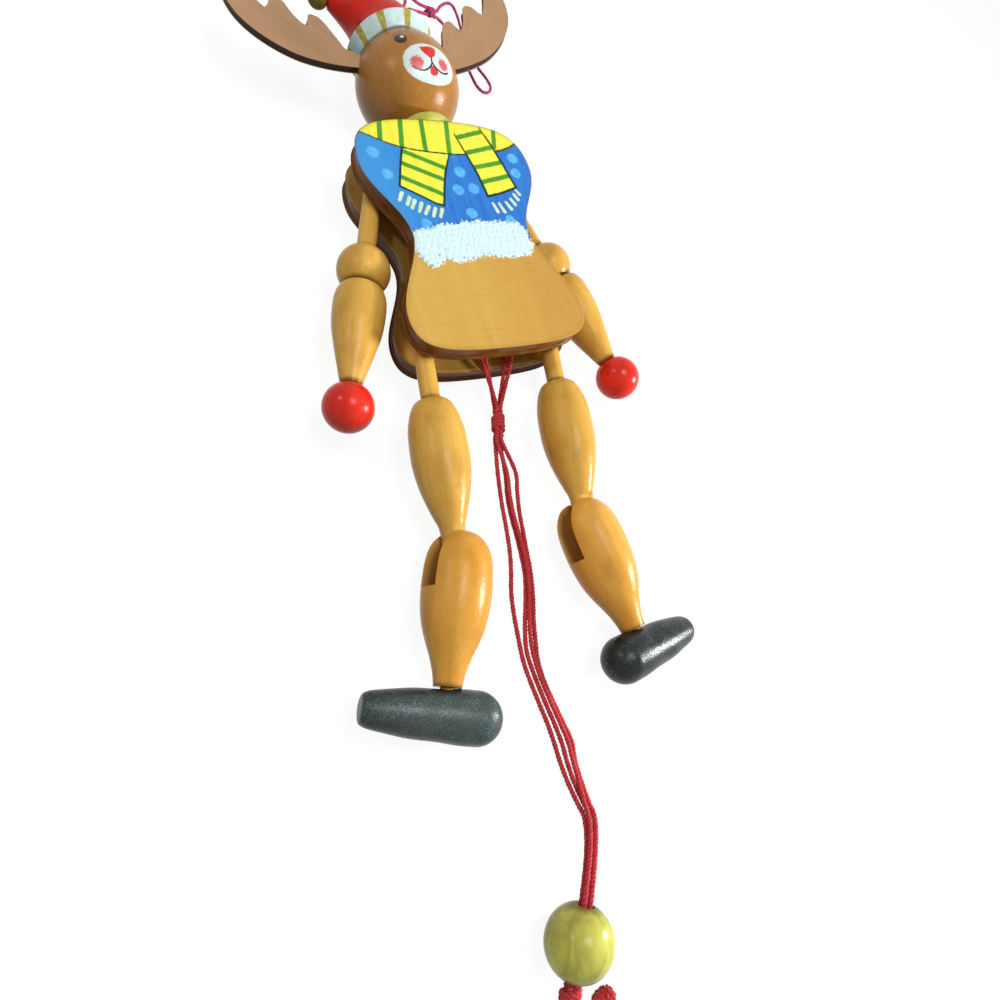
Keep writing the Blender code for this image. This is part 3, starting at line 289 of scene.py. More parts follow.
def new_material(name, view_hex, **inputs):
    """A Principled material with plain values on its own sockets."""
    material = bpy.data.materials.new(name)
    material.use_nodes = True
    material.diffuse_color = colour(view_hex)
    shader = material.node_tree.nodes["Principled BSDF"]
    shader.inputs["Base Color"].default_value = colour(view_hex)
    for key, value in inputs.items():
        shader.inputs[key.replace("_", " ")].default_value = value
    return material, shader


def link(material, out, into):
    """A link from one node's socket to another's."""
    material.node_tree.links.new(out, into)


def read_value(material, name, socket="Fac"):
    """A value that the piece's mesh carries at each point."""
    return add_node(material, "Attribute", {"attribute_name": name}).outputs[socket]


def scaled_place(material, place, scale):
    """A place times a scale, to stretch a pattern along one direction."""
    return add_node(material, "Mapping", Vector=place, Scale=scale).outputs[0]


def noise(material, place, size_mm, detail=3.0, rough=0.5, distort=0.0):
    """Soft noise whose blotches are about size_mm across, on a place in millimetres."""
    return add_node(material, "TexNoise", Vector=place, Scale=1.0 / size_mm, Detail=detail,
                    Roughness=rough, Distortion=distort).outputs["Fac"]


def remap(material, value, low, high, to_low=0.0, to_high=1.0):
    """Straight remapping, clamped: low to to_low and high to to_high."""
    return add_node(material, "MapRange", n0=value, n1=low, n2=high, n3=to_low,
                    n4=to_high).outputs[0]


def mixed(material, share, a, b, blend="MIX"):
    """Two colours mixed by a share."""
    node = add_node(material, "Mix", {"data_type": "RGBA", "blend_type": blend})
    for value, number in ((share, 0), (a, 6), (b, 7)):
        if isinstance(value, bpy.types.NodeSocket):
            link(material, value, node.inputs[number])
        elif isinstance(value, str):
            node.inputs[number].default_value = colour(value)
        else:
            node.inputs[number].default_value = value
    return node.outputs[2]


def sums(material, operation, a, b):
    """One sum of two values, such as ADD, MULTIPLY or MAXIMUM."""
    return add_node(material, "Math", {"operation": operation}, n0=a, n1=b).outputs[0]


def raise_by(material, shader, height, depth_mm, before=None):
    """Bump whose height of 0 to 1 stands for depth_mm."""
    bump = add_node(material, "Bump", Height=height, Distance=depth_mm / 1000, Strength=1.0)
    if before is not None:
        link(material, before, bump.inputs["Normal"])
    link(material, bump.outputs[0], shader.inputs["Normal"])
    return bump.outputs[0]


# %% [markdown]
# The limbs, the head and the boards are birch under amber varnish. Birch is pale with a
# soft silky grain that runs along the limb, the varnish tints it to honey and stands
# darker where it ran into a groove. Under a lamp the varnish shows fine orange peel, which
# breaks every highlight into small sparks. Its bumps are about half a millimetre across.

# %% Varnished birch
GRAIN = (1.0, 0.07, 1.0)
PEEL_MM = 0.07


def wood_colour(material, place, pale, middle, deep, along=GRAIN):
    """Broad soft bands and faint fine streaks, both stretched along the grain."""
    bands = noise(material, scaled_place(material, place, along), 5.5, detail=2.0, distort=0.5)
    streaks = noise(material, scaled_place(material, place, (1.0, 0.035, 1.0)), 0.7, 3.0)
    base = mixed(material, remap(material, bands, 0.3, 0.7), middle, pale)
    return mixed(material, remap(material, streaks, 0.5, 0.85, 0.0, 0.4), base, deep)


def varnish(material, shader, place):
    """Uneven gloss and the fine orange peel of brushed varnish."""
    cloud = noise(material, place, 6.0, 2.0)
    link(material, remap(material, cloud, 0.3, 0.7, 0.17, 0.3), shader.inputs["Roughness"])
    raise_by(material, shader, noise(material, place, 0.6, 2.0, 0.6), PEEL_MM)


def make_varnished(name, pale, middle, deep, pooled_and_shade):
    """Varnished wood that reads the piece's own place and where the varnish pooled."""
    material, shader = new_material(name, middle, Specular_IOR_Level=0.14)
    place = read_value(material, "own_mm", "Vector")
    base = wood_colour(material, place, pale, middle, deep)
    patch = noise(material, place, 9.0, 2.0)
    base = mixed(material, remap(material, patch, 0.5, 0.75, 0.0, 0.35), base, deep)
    base = mixed(material, read_value(material, "pooled_and_shade"), base, pooled_and_shade)
    link(material, base, shader.inputs["Base Color"])
    varnish(material, shader, place)
    return material


limb_wood = make_varnished("birch_amber_varnish", "#EABA58", "#DCA646", "#B67824", "#6A400C")
shin_wood = make_varnished("birch_honey_varnish", "#F0B350", "#E09E3C", "#BA701E", "#6A400C")
# Darker wood for the slot's faces: partly their end grain, partly painted shade inside the slot.
sawn_wood = make_varnished("sawn_amber_varnish", "#CC9A50", "#B98440", "#8A5A24", "#5A380F")
board_wood = make_varnished("plywood_amber_varnish", "#DCB05A", "#CC9B48", "#B07C30",
                            "#6E4010")


def make_raw_wood():
    """Unvarnished birch of the block and the dowels inside: pale, dry and matt.

    These solids carry no values, so their place comes from their object, in metres.
    """
    material, shader = new_material("bare_birch", "#E2C592", Roughness=0.75)
    place = add_node(material, "TexCoord").outputs["Object"]
    place = scaled_place(material, place, (1000.0, 60.0, 1000.0))
    streaks = noise(material, place, 0.7, 4.0, 0.6)
    link(material, mixed(material, remap(material, streaks, 0.3, 0.7), "#C9A267", "#E8D0A2"),
         shader.inputs["Base Color"])
    raise_by(material, shader, streaks, 0.04)
    return material


raw_wood = make_raw_wood()
print("wood finishes:", limb_wood.name, shin_wood.name, sawn_wood.name, board_wood.name,
      raw_wood.name)

# %% [markdown]
# The hands, hat, shoes, bead and collar were dipped or brushed with enamel. Each has its
# own look: the hands are glossy red with painted glints, the hat is satin, the shoes are
# black with painted glints and a painted sheen on their upper side, and the bead is
# gold-green with brush strokes round it.

# %% Enamel paints


def make_enamel(name, tone, shade, gloss, glint_colour=None, share=0.5, peel=0.03, cloud_mm=5.0,
                level=0.14, sheen_colour=None):
    """Brushed enamel: a cloudy tone, uneven gloss and orange peel.

    A glint colour adds painted glints, pale specks in patches, share at most. With a sheen
    colour, the piece carries the share of a painted sheen at each point, broken by specks.
    """
    material, shader = new_material(name, tone, Roughness=gloss, Specular_IOR_Level=level)
    place = read_value(material, "own_mm", "Vector")
    cloud = noise(material, place, cloud_mm, 3.0)
    base = mixed(material, remap(material, cloud, 0.35, 0.7), shade, tone)
    # Painted sheen: the reflection of the light above, laid on the upper side as colour.
    if sheen_colour:
        specks = noise(material, place, 0.5, 4.0, 0.7)
        sheen_amount = sums(material, "ADD", read_value(material, "sheen_share"),
                      remap(material, specks, 0.3, 0.7, -0.3, 0.3))
        base = mixed(material, remap(material, sheen_amount, 0.1, 1.0, 0.0, 0.85), base, sheen_colour)
    # Painted glints: pale specks in patches, where a highlight would sparkle.
    if glint_colour:
        painted_glints = noise(material, place, 0.35, 2.0)
        patch = noise(material, place, 4.0, 2.0)
        painted_glints = sums(material, "MULTIPLY", remap(material, painted_glints, 0.60, 0.70),
                    remap(material, patch, 0.48, 0.62, 0.0, share))
        base = mixed(material, painted_glints, base, glint_colour)
    link(material, base, shader.inputs["Base Color"])
    link(material, remap(material, cloud, 0.3, 0.7, gloss * 0.8, gloss * 1.4),
         shader.inputs["Roughness"])
    raise_by(material, shader, noise(material, place, 0.7, 3.0, 0.6), peel)
    return material


# The hands carry pale pink painted glints.
hand_red = make_enamel("hand_red_enamel", "#F03624", "#DC2616", 0.22, "#F2A79E", 0.15,
                       level=0.2)
hat_red = make_enamel("hat_red_enamel", "#E42614", "#CC1A0C", 0.36, level=0.2)
# The shoes carry pale painted glints and a grey-green painted sheen on their upper side.
shoe_black = make_enamel("shoe_black_enamel", "#0C1416", "#05090A", 0.28, "#9AB8BE", 0.8,
                         peel=0.1, level=0.3, sheen_colour="#62736F")
tip_gold = make_enamel("hat_tip_gold_enamel", "#8E8432", "#5E5618", 0.32)
collar_green = make_enamel("collar_yellow_green_enamel", "#E2DE78", "#BCBC4C", 0.3)


def make_bead_paint():
    """Gold-green enamel with wide brush strokes, brown where it is thin or pooled."""
    material, shader = new_material("bead_gold_green_enamel", "#B4AC3C", Roughness=0.24,
                                    Specular_IOR_Level=0.2)
    place = read_value(material, "own_mm", "Vector")
    strokes = noise(material, scaled_place(material, place, (1.0, 0.35, 1.0)), 4.0, 3.0, 0.5,
                    0.8)
    cloud = noise(material, place, 8.0, 2.0)
    base = mixed(material, remap(material, strokes, 0.3, 0.7), "#B2AC42", "#E6E46E")
    base = mixed(material, remap(material, cloud, 0.5, 0.72, 0.0, 0.45), base, "#8A7C2C")
    base = mixed(material, read_value(material, "pooled_and_shade"), base, "#4A3A12")
    link(material, base, shader.inputs["Base Color"])
    raise_by(material, shader, strokes, 0.06)
    return material


bead_paint = make_bead_paint()


def make_steel():
    """Steel wire and pins: grey, slightly dull and finely mottled."""
    material, shader = new_material("drawn_steel", "#8C8780", Roughness=0.38, Metallic=1.0)
    place = add_node(material, "TexCoord").outputs["Object"]
    spots = noise(material, scaled_place(material, place, (1000.0, 1000.0, 1000.0)), 0.4, 3.0)
    link(material, remap(material, spots, 0.3, 0.7, 0.3, 0.5), shader.inputs["Roughness"])
    link(material, mixed(material, spots, "#6F6A62", "#A39D94"), shader.inputs["Base Color"])
    return material


steel = make_steel()
print("enamels:", hand_red.name, shoe_black.name, bead_paint.name)

# %% [markdown]
# Both boards were sawn from 6 mm plywood to the same fiddle shape: full at the shoulders,
# narrow at the waist and full again at the hips. Four curves down the right side are
# mirrored to the left. The shape can be seen whole from its middle, so rings that shrink
# towards that middle cover it without gaps, and they follow the edge where it is rounded.

# %% The outline of the boards
BOARD_TOP = 37.0
SHOULDER = (30.2, 20.8)
WAIST = (20.2, -5.4)
HIP = (30.3, -34.1)
BOARD_BOTTOM = -45.6
HANDLES = {"top": 22.5, "shoulder": 13.0, "side": 9.5, "base": 24.0}
BOARD_MIDDLE = np.array([0.0, -4.0])
BACK_FACE, BACK_INNER, FRONT_INNER, FRONT_FACE = -10.5, -4.5, 4.5, 10.5
EDGE_RADIUS = 0.9
FACE_REACH = 41
EDGE_RINGS, WALL_RINGS, UNDER_RINGS = 5, 5, 5


def bezier(a, b, c, d, count=80):
    """a (1-t)^3 + 3 b t (1-t)^2 + 3 c t^2 (1-t) + d t^3, without its last point."""
    t = np.linspace(0, 1, count, endpoint=False)[:, None]
    s = 1 - t
    a, b, c, d = (np.asarray(v, float) for v in (a, b, c, d))
    return a * s ** 3 + 3 * b * s ** 2 * t + 3 * c * s * t ** 2 + d * t ** 3


def board_outline(step):
    """The fiddle shape as a ring of points, clockwise from the top."""
    h = HANDLES
    top, base = (0.0, BOARD_TOP), (0.0, BOARD_BOTTOM)
    side = h["side"]
    right = np.concatenate([
        bezier(top, (h["top"], BOARD_TOP), (SHOULDER[0], SHOULDER[1] + h["shoulder"]), SHOULDER),
        bezier(SHOULDER, (SHOULDER[0], SHOULDER[1] - side), (WAIST[0], WAIST[1] + side), WAIST),
        bezier(WAIST, (WAIST[0], WAIST[1] - side), (HIP[0], HIP[1] + side), HIP),
        bezier(HIP, (HIP[0], HIP[1] - side), (h["base"], BOARD_BOTTOM), base)])
    left = right[1:][::-1] * [-1, 1]
    return resampled(np.concatenate([right, [base], left, [top]]), step)[:-1]


def inward(ring, distance):
    """A ring moved inward along its own normals."""
    slope = np.roll(ring, -1, 0) - np.roll(ring, 1, 0)
    normal = np.stack([slope[:, 1], -slope[:, 0]], -1)
    return ring - distance * normal / np.linalg.norm(normal, axis=1)[:, None]


def board_rings(step, low, high, relief=None):
    """Rings from the middle of the front, over its edge, down the side and back.

    The rounded edge is a quarter circle: inset r (1 - sin u), height r (1 - cos u) below.
    """
    outline = board_outline(step)
    rim = inward(outline, EDGE_RADIUS)
    shares = np.linspace(0.0, 1.0, round(FACE_REACH / step))[1:]
    face = [np.column_stack([BOARD_MIDDLE + s * (rim - BOARD_MIDDLE), np.full(len(rim), high)])
            for s in shares]
    if relief is not None:
        for ring in face:
            ring[:, 2] += relief(ring[:, :2])
    turns = np.linspace(0, pi / 2, EDGE_RINGS + 1)[1:]
    edge = [np.column_stack([inward(outline, EDGE_RADIUS * (1 - sin(u))),
                             np.full(len(outline), high - EDGE_RADIUS * (1 - cos(u)))])
            for u in turns]
    wall = [np.column_stack([outline, np.full(len(outline), high - EDGE_RADIUS - v)])
            for v in np.linspace(0, high - low - 2 * EDGE_RADIUS, WALL_RINGS + 1)[1:]]
    under = [np.column_stack([inward(outline, EDGE_RADIUS * (1 - cos(u))),
                              np.full(len(outline), low + EDGE_RADIUS * (1 - sin(u)))])
             for u in turns]
    back = [np.column_stack([BOARD_MIDDLE + s * (rim - BOARD_MIDDLE), np.full(len(rim), low)])
            for s in np.linspace(1, 0, UNDER_RINGS + 2)[1:-1]]
    return np.stack(face + edge + wall + under + back)


print("outline points at 0.5 mm:", len(board_outline(0.5)))

# %% [markdown]
# The front board is painted by hand under its varnish: a blue sweater with pale dots, a
# yellow scarf with green stripes whose two tails cross over it, short fringe strokes and
# a band of thick white paint, dabbed on to look like fur. Each paint is drawn as the
# distance from every point of the board to the nearest edge of its strokes, negative
# inside. The board carries these distances, and its material turns them into sharp edges
# at any zoom. The same distances lift the surface a little, as real layers of paint do.

# %% Distances to strokes and shapes


def to_path(p, path, half_width):
    """Distance to a line through points, less half its width; widths may change along it."""
    path = np.asarray(path, float)
    widths = np.broadcast_to(np.asarray(half_width, float), len(path))
    best = np.full(len(p), 1e3)
    for a, b, wa, wb in zip(path, path[1:], widths, widths[1:]):
        t = np.clip(((p - a) @ (b - a)) / ((b - a) @ (b - a)), 0, 1)
        best = np.minimum(best, np.linalg.norm(p - a - t[:, None] * (b - a), axis=1)
                          - wa - (wb - wa) * t)
    return best


def to_shape(p, corners):
    """Signed distance to a closed outline: to its nearest side, negative inside it."""
    corners = np.asarray(corners, float)
    inside = np.zeros(len(p), bool)
    for a, b in zip(corners, np.roll(corners, -1, 0)):
        crosses = (a[1] > p[:, 1]) != (b[1] > p[:, 1])
        with np.errstate(divide="ignore", invalid="ignore"):
            x = a[0] + (p[:, 1] - a[1]) * (b[0] - a[0]) / (b[1] - a[1])
        inside ^= crosses & (p[:, 0] < x)
    edge = to_path(p, np.concatenate([corners, corners[:1]]), 0.0)
    return np.where(inside, -edge, edge)


def to_dots(p, dots):
    """Distance to the nearest of several (x, y, radius) dots."""
    return np.min([np.hypot(p[:, 0] - x, p[:, 1] - y) - r for x, y, r in dots], axis=0)


def lumps(p, size, seed, octaves=3):
    """Soft lumps from 0 to 1: sums of sine waves in many directions, finer and weaker."""
    draw = np.random.default_rng(seed)
    total = np.zeros(len(p))
    weight = 0.0
    for octave in range(octaves):
        share = 0.6 ** octave
        for _ in range(9):
            angle, phase = draw.uniform(0, 2 * pi, 2)
            wave = 2 * pi * 2 ** octave / size * draw.uniform(0.7, 1.3)
            total += share * np.sin(wave * (p[:, 0] * cos(angle) + p[:, 1] * sin(angle)) + phase)
        weight += share * 3.0
    return 0.5 + 0.5 * np.clip(total / weight, -1, 1)


# %% The painted shapes, in millimetres on the board
SCARF_EDGE_LEFT = [(-28.5, 31.9), (-27, 31.3), (-23, 29.4), (-19, 27.6), (-15, 26.4), (-10, 25.5),
                   (-5, 25.0), (0, 24.7), (4, 24.6), (7.4, 24.8)]
SCARF_EDGE_RIGHT = [(19.5, 26.6), (22.5, 27.3), (26, 28.7), (28.5, 30.2), (30.5, 31.6)]
LEFT_TAIL = [(-14.9, 26.3), (1.4, 24.7), (-2.6, 17.0), (-5.0, 10.6), (-6.2, 6.8), (-7.0, 4.7),
             (-9.5, 5.4), (-13.5, 7.9), (-20.0, 11.7), (-17.6, 19.0)]
RIGHT_TAIL = [(5.8, 33.0), (7.6, 25.5), (9.3, 17.5), (10.3, 8.4), (16.0, 9.8), (22.6, 12.1),
              (20.4, 22.5), (18.6, 29.5), (16.3, 36.4), (10.5, 35.2)]
BAND_STRIPES = [[(-21.4, 29.0), (-19.6, 36.6)], [(-14.8, 26.6), (-12.1, 38.0)],
                [(-6.9, 25.2), (-4.7, 38.0)], [(1.5, 24.8), (4.4, 38.0)],
                [(19.7, 28.3), (22.0, 36.2)]]
TAIL_STRIPES = [[(-15.0, 24.9), (-2.0, 19.0)], [(-16.9, 20.4), (-4.1, 14.6)],
                [(-18.8, 15.3), (-6.0, 8.9)], [(6.2, 31.4), (16.6, 34.5)],
                [(8.2, 25.5), (18.8, 28.3)], [(9.6, 19.8), (20.2, 22.2)],
                [(10.2, 14.0), (21.4, 16.8)]]
FRINGE = [[(-21.7, 6.5), (-20.1, 9.2)], [(-19.6, 4.9), (-18.1, 7.5)], [(-18.3, 3.7), (-16.6, 6.4)],
          [(-16.3, 2.4), (-14.6, 5.5)], [(-14.4, 1.6), (-12.5, 4.3)], [(-12.0, 0.7), (-10.4, 3.6)],
          [(-9.6, 0.5), (-8.2, 3.2)], [(11.2, 5.7), (12.0, 2.5)], [(13.6, 5.7), (14.6, 2.5)],
          [(16.4, 6.2), (17.6, 3.6)], [(18.7, 7.6), (19.7, 5.4)], [(20.6, 9.4), (21.6, 7.3)],
          [(22.1, 11.0), (22.9, 9.5)]]
DOTS = [(-25.3, 24.0, 2.0), (-22.8, 16.0, 1.9), (2.9, 17.7, 2.0), (0.1, 10.8, 2.0),
        (5.9, 11.4, 2.0), (2.0, 1.9, 2.0), (-15.2, -2.0, 1.8), (25.4, 24.1, 2.0),
        (24.5, 18.0, 1.9), (15.6, -0.4, 1.6)]
FUR = [(-23.0, -4.4), (-20.3, -4.3), (-17.5, -3.5), (-15.0, -3.8), (-13.0, -3.1), (-11.0, -1.8),
       (-7.0, -2.0), (-4.5, -2.1), (-2.5, -1.0), (0.5, -1.5), (3.0, -0.4), (5.0, -1.0),
       (7.5, -1.2), (11.0, -0.9), (14.0, -1.4), (17.5, -1.2), (19.2, -3.0), (20.5, -4.2),
       (20.4, -8.8), (21.4, -10.0), (20.3, -12.0), (18.3, -14.3), (14.0, -14.8), (9.5, -15.0),
       (6.0, -14.6), (3.0, -14.1), (0.0, -14.2), (-2.5, -15.0), (-6.5, -16.2), (-10.0, -16.0),
       (-12.5, -14.6), (-14.0, -16.3), (-17.0, -17.8), (-19.5, -16.5), (-21.5, -13.0),
       (-23.0, -10.0)]
SWEATER_HEM = -8.0
OLIVE_FROM_TO = (26.0, 27.5)


def board_paint(p):
    """The distance to each paint's edge at points on the board, in millimetres."""
    wobble = 0.22 * (lumps(p, 3.0, 3) - 0.5)
    edge = np.concatenate([SCARF_EDGE_LEFT, SCARF_EDGE_RIGHT])
    above = np.interp(p[:, 0], edge[:, 0], edge[:, 1]) - p[:, 1]
    left, right = to_shape(p, LEFT_TAIL), to_shape(p, RIGHT_TAIL)
    scarf = np.minimum(np.minimum(above * 0.9, left), right)
    in_band = np.maximum(above * 0.9, -right)
    stripes = np.minimum(
        np.maximum(np.min([to_path(p, s, 0.82) for s in BAND_STRIPES], 0), in_band),
        np.maximum(np.min([to_path(p, s, 0.86) for s in TAIL_STRIPES], 0),
                   np.minimum(left, right) + 0.25))
    lines = np.min([
        to_path(p, SCARF_EDGE_LEFT, 0.24), to_path(p, SCARF_EDGE_RIGHT, 0.34),
        to_path(p, [LEFT_TAIL[0], LEFT_TAIL[-1], LEFT_TAIL[-2]], 0.33),
        to_path(p, LEFT_TAIL[5:9], [0.36, 0.3, 0.3, 0.36]),
        to_path(p, LEFT_TAIL[1:6], [0.24, 0.34, 0.34, 0.36, 0.4]),
        to_path(p, RIGHT_TAIL[:4], [0.22, 0.3, 0.42, 0.42]),
        to_path(p, RIGHT_TAIL[3:6], [0.42, 0.36, 0.4]),
        to_path(p, RIGHT_TAIL[5:9], [0.42, 0.44, 0.4, 0.22])], 0)
    return {"scarf": scarf + wobble, "stripes": stripes + 0.7 * wobble,
            "lines": lines - 0.06 + 0.5 * wobble, "dots": to_dots(p, DOTS) + 1.4 * wobble,
            "fringe": np.min([to_path(p, s, [0.5, 0.66]) for s in FRINGE], 0) + 0.6 * wobble,
            "fur": to_shape(p, FUR) + 2.0 * (lumps(p, 1.5, 8, 3) - 0.5)}


def step_up(distance, height, soft=0.25):
    """Height of a layer of paint, rounded at its edge: full at soft inside it."""
    return height * np.clip(0.5 - distance / (2 * soft), 0, 1)


def board_relief(p):
    """The layers of paint on the board, in millimetres; the fur is thick and dabbed."""
    paint = board_paint(p)
    fur = np.clip(-paint["fur"] / 0.7, 0, 1)
    dabs = lumps(p, 2.3, 21, 3)
    return (step_up(paint["scarf"], 0.04) + step_up(paint["stripes"], 0.03)
            + step_up(paint["lines"], 0.05, 0.2) + step_up(paint["dots"], 0.05)
            + step_up(paint["fringe"], 0.08) + fur * (0.3 + 0.16 * dabs ** 1.5))


# %% Material of the painted board


def make_board_paint():
    """Sweater, scarf, dots, fringe and fur over varnished plywood, layer by layer.

    Each layer covers what lies below it wherever its distance is under zero. The dark
    lines dried olive up on the yellow band.
    """
    material, shader = new_material("hand_painted_plywood", "#2F74CC", Specular_IOR_Level=0.14)
    place = read_value(material, "own_mm", "Vector")

    def covers(name, soft=0.07):
        return remap(material, read_value(material, name), soft, -soft)

    wood = wood_colour(material, place, "#DDB158", "#D4A650", "#BE8C3C", (0.9, 0.09, 1.0))
    flecks = noise(material, scaled_place(material, place, (0.12, 1.0, 1.0)), 1.3, 2.0)
    wood = mixed(material, remap(material, flecks, 0.58, 0.76, 0.0, 0.22), wood, "#A8742C")
    x, y, _ = add_node(material, "SeparateXYZ", Vector=place).outputs
    wood = mixed(material, remap(material, x, -8.0, 24.0, 0.0, 0.5), wood, "#C08A3C")
    strokes = noise(material, scaled_place(material, place, (1.0, 0.13, 1.0)), 1.6, 3.0, 0.6,
                    0.4)
    blue = mixed(material, remap(material, strokes, 0.25, 0.75), "#2C6FC8", "#3A8ADA")
    # Paler and more cyan towards the left: a painted sheen of the varnish over the blue.
    blue = mixed(material, remap(material, x, -6.0, -24.0, 0.0, 0.8), blue, "#46A0E2")
    dabbed = noise(material, place, 2.0, 3.0)
    pale_dot = mixed(material, remap(material, dabbed, 0.35, 0.7), "#50ACF0", "#70C4FA")
    yellow = mixed(material, remap(material, strokes, 0.28, 0.5), "#EFE93E", "#FBF650")
    green = mixed(material, remap(material, strokes, 0.35, 0.65), "#48962A", "#5CA636")
    dark = mixed(material, remap(material, y, *OLIVE_FROM_TO), "#143A3A", "#4E4A10")
    fringe = mixed(material, remap(material, dabbed, 0.4, 0.6), "#CFE8A8", "#E6F5D4")
    relief = noise(material, place, 1.4, 4.0, 0.6)
    # The grey flecks in the fur are painted shade in the hollows between its dabs.
    fur = mixed(material, remap(material, relief, 0.29, 0.36), "#93A8AA", "#DCF6F5")

    base = mixed(material, remap(material, y, SWEATER_HEM - 0.1, SWEATER_HEM + 0.1), wood,
                 blue)
    base = mixed(material, covers("dots", 0.25), base, pale_dot)
    base = mixed(material, covers("scarf"), base, yellow)
    base = mixed(material, covers("stripes", 0.12), base, green)
    base = mixed(material, covers("lines", 0.1), base, dark)
    base = mixed(material, covers("fringe", 0.1), base, fringe)
    base = mixed(material, covers("fur", 0.12), base, fur)
    plies = noise(material, scaled_place(material, place, (0.15, 0.15, 1.0)), 0.9, 3.0)
    side = mixed(material, remap(material, plies, 0.35, 0.7), "#6E3E0E", "#96601E")
    base = mixed(material, read_value(material, "pooled_and_shade"), base, side)
    link(material, base, shader.inputs["Base Color"])
    rough = remap(material, noise(material, place, 6.0, 2.0), 0.3, 0.7, 0.26, 0.4)
    rough = add_node(material, "Mix", n0=covers("fur"), n2=rough, n3=0.7).outputs[0]
    link(material, rough, shader.inputs["Roughness"])
    peel = raise_by(material, shader, noise(material, place, 0.8, 3.0, 0.6), 0.03)
    furry = sums(material, "MULTIPLY", covers("fur"), relief)
    raise_by(material, shader, furry, 0.07, before=peel)
    return material


board_paint_material = make_board_paint()

# %% Front and back board
BOARD_STEP = 0.42
BACK_STEP = 1.2
RIM_STEP = 1.5
RIM_STAIN, RIM_STAIN_WIDTH = 0.15, 0.7


def make_board(name, node, step, low, high, material, relief=None):
    """A board from its rings, with its place, its dark edge and its paints as values."""
    rings = board_rings(step, low, high, relief)
    rise = 0 if relief is None else relief(BOARD_MIDDLE[None])[0]
    points = np.concatenate([rings.reshape(-1, 3),
                             [[*BOARD_MIDDLE, high + rise], [*BOARD_MIDDLE, low]]])
    rows, columns = rings.shape[:2]
    rim = to_shape(points[:, :2], board_outline(step)[::max(1, round(RIM_STEP / step))])
    on_side = np.clip((high - points[:, 2] - 0.25) / 0.5, 0, 1)
    pooled_and_shade = np.maximum(on_side, RIM_STAIN * np.clip(1 + rim / RIM_STAIN_WIDTH, 0, 1))
    values = {"own_mm": points, "pooled_and_shade": pooled_and_shade}
    if relief is not None:
        values.update(board_paint(points[:, :2]))
    return add_piece(name, laid(points), tube_faces(rows, columns), material, "torso",
                     replaces=[node], values=values)


front = make_board("front_board", "board_front", BOARD_STEP, FRONT_INNER, FRONT_FACE,
                   board_paint_material, board_relief)
back = make_board("back_board", "board_back", BACK_STEP, BACK_FACE, BACK_INNER, board_wood)
print("front board:", len(front.data.vertices), "points, back board:",
      len(back.data.vertices))

# %% [markdown]
# Each arm is one turned piece: a thin rod that hangs from its pin, a ball for the elbow, a
# groove, and a forearm that tapers to the wrist. Thighs are the same idea with a long
# bulb, and end in a flat tongue. Shins have a slot sawn into their upper end, which
# straddles that tongue. The slot and the tongue are cut by boxes, because a saw cut is
# what they are. They were varnished after it. The slot's faces are darker, partly from
# the end grain, which took up more varnish, and partly as painted shade inside the slot.

# %% Sizes of the limbs
ROD = 3.0
SHOULDER_PIN = (21.5, 26.0, 0.0)
HIP_PIN = (23.0, -26.0, 0.0)
ARM_OUT = {"left": 21.2, "right": 15.0}
THIGH_OUT = {"left": 8.5, "right": -8.7}
SHIN_OUT = {"left": 24.0, "right": 6.0}
SIGN = {"left": -1.0, "right": 1.0}
ARM_LEVER, ARM_LEVER_END = -5.6, -8.6
ELBOW, ELBOW_RADIUS, ARM_GROOVE = 39.5, 8.3, 46.1
WRIST, WRIST_RADIUS, WRIST_TENON = 79.2, 3.15, 83.0
TENON_RADIUS = 2.0
HAND, HAND_RADIUS = 86.3, 7.5
LEG_LEVER, LEG_LEVER_END, LEG_LEVER_RADIUS, LEG_LEVER_FOOT = -5.9, -7.8, 1.9, -1.2
THIGH_ROD_END = 30.2
KNEE, TONGUE_HALF, SLOT_HALF = 81.5, 3.0, 3.4
TONGUE_RISE, SLOT_FLOOR = 11.0, 7.5
KNEE_TWIST = {"left": 16.0, "right": 9.0}
ANKLE, ANKLE_RADIUS, ANKLE_TENON, SHOE_DROP = 33.0, 3.9, 36.5, 7.15
TOE_LIFT = {"left": 0.0, "right": -11.3}
TOE_DROP = {"left": 0.0, "right": 3.5}
LIMB_STEP = 0.35
ON_PLANE = 1e-3


def profile_of(*stretches):
    """Stretches of a profile joined end to end, each evenly stepped."""
    parts = [resampled(np.asarray(s, float), LIMB_STEP) if len(s) == 2 else smooth(s, LIMB_STEP)
             for s in stretches]
    joined = np.concatenate(parts)
    keep = np.concatenate([[True], np.linalg.norm(np.diff(joined, axis=0), axis=1) > 0.05])
    return joined[keep]


def pooled_near(distance, marks, width=0.8):
    """1 at each mark along the limb, fading over a width: where varnish stands in a groove."""
    return np.max([s * np.exp(-((distance - m) / width) ** 2) for m, s in marks], axis=0)


def shifted_grain(points, seed):
    """The piece's own place, moved by a fixed step, so that no two have the same grain."""
    return points + np.random.default_rng(seed).uniform(-400, 400, 3)


def saw_way(twist, turn):
    """The matrix Rz(turn) Ry(twist), from the saw's own directions to the limb's."""
    t, a = radians(twist), radians(turn)
    about_y = np.array([[cos(t), 0, sin(t)], [0, 1, 0], [-sin(t), 0, cos(t)]])
    about_z = np.array([[cos(a), -sin(a), 0], [sin(a), cos(a), 0], [0, 0, 1]])
    return about_z @ about_y


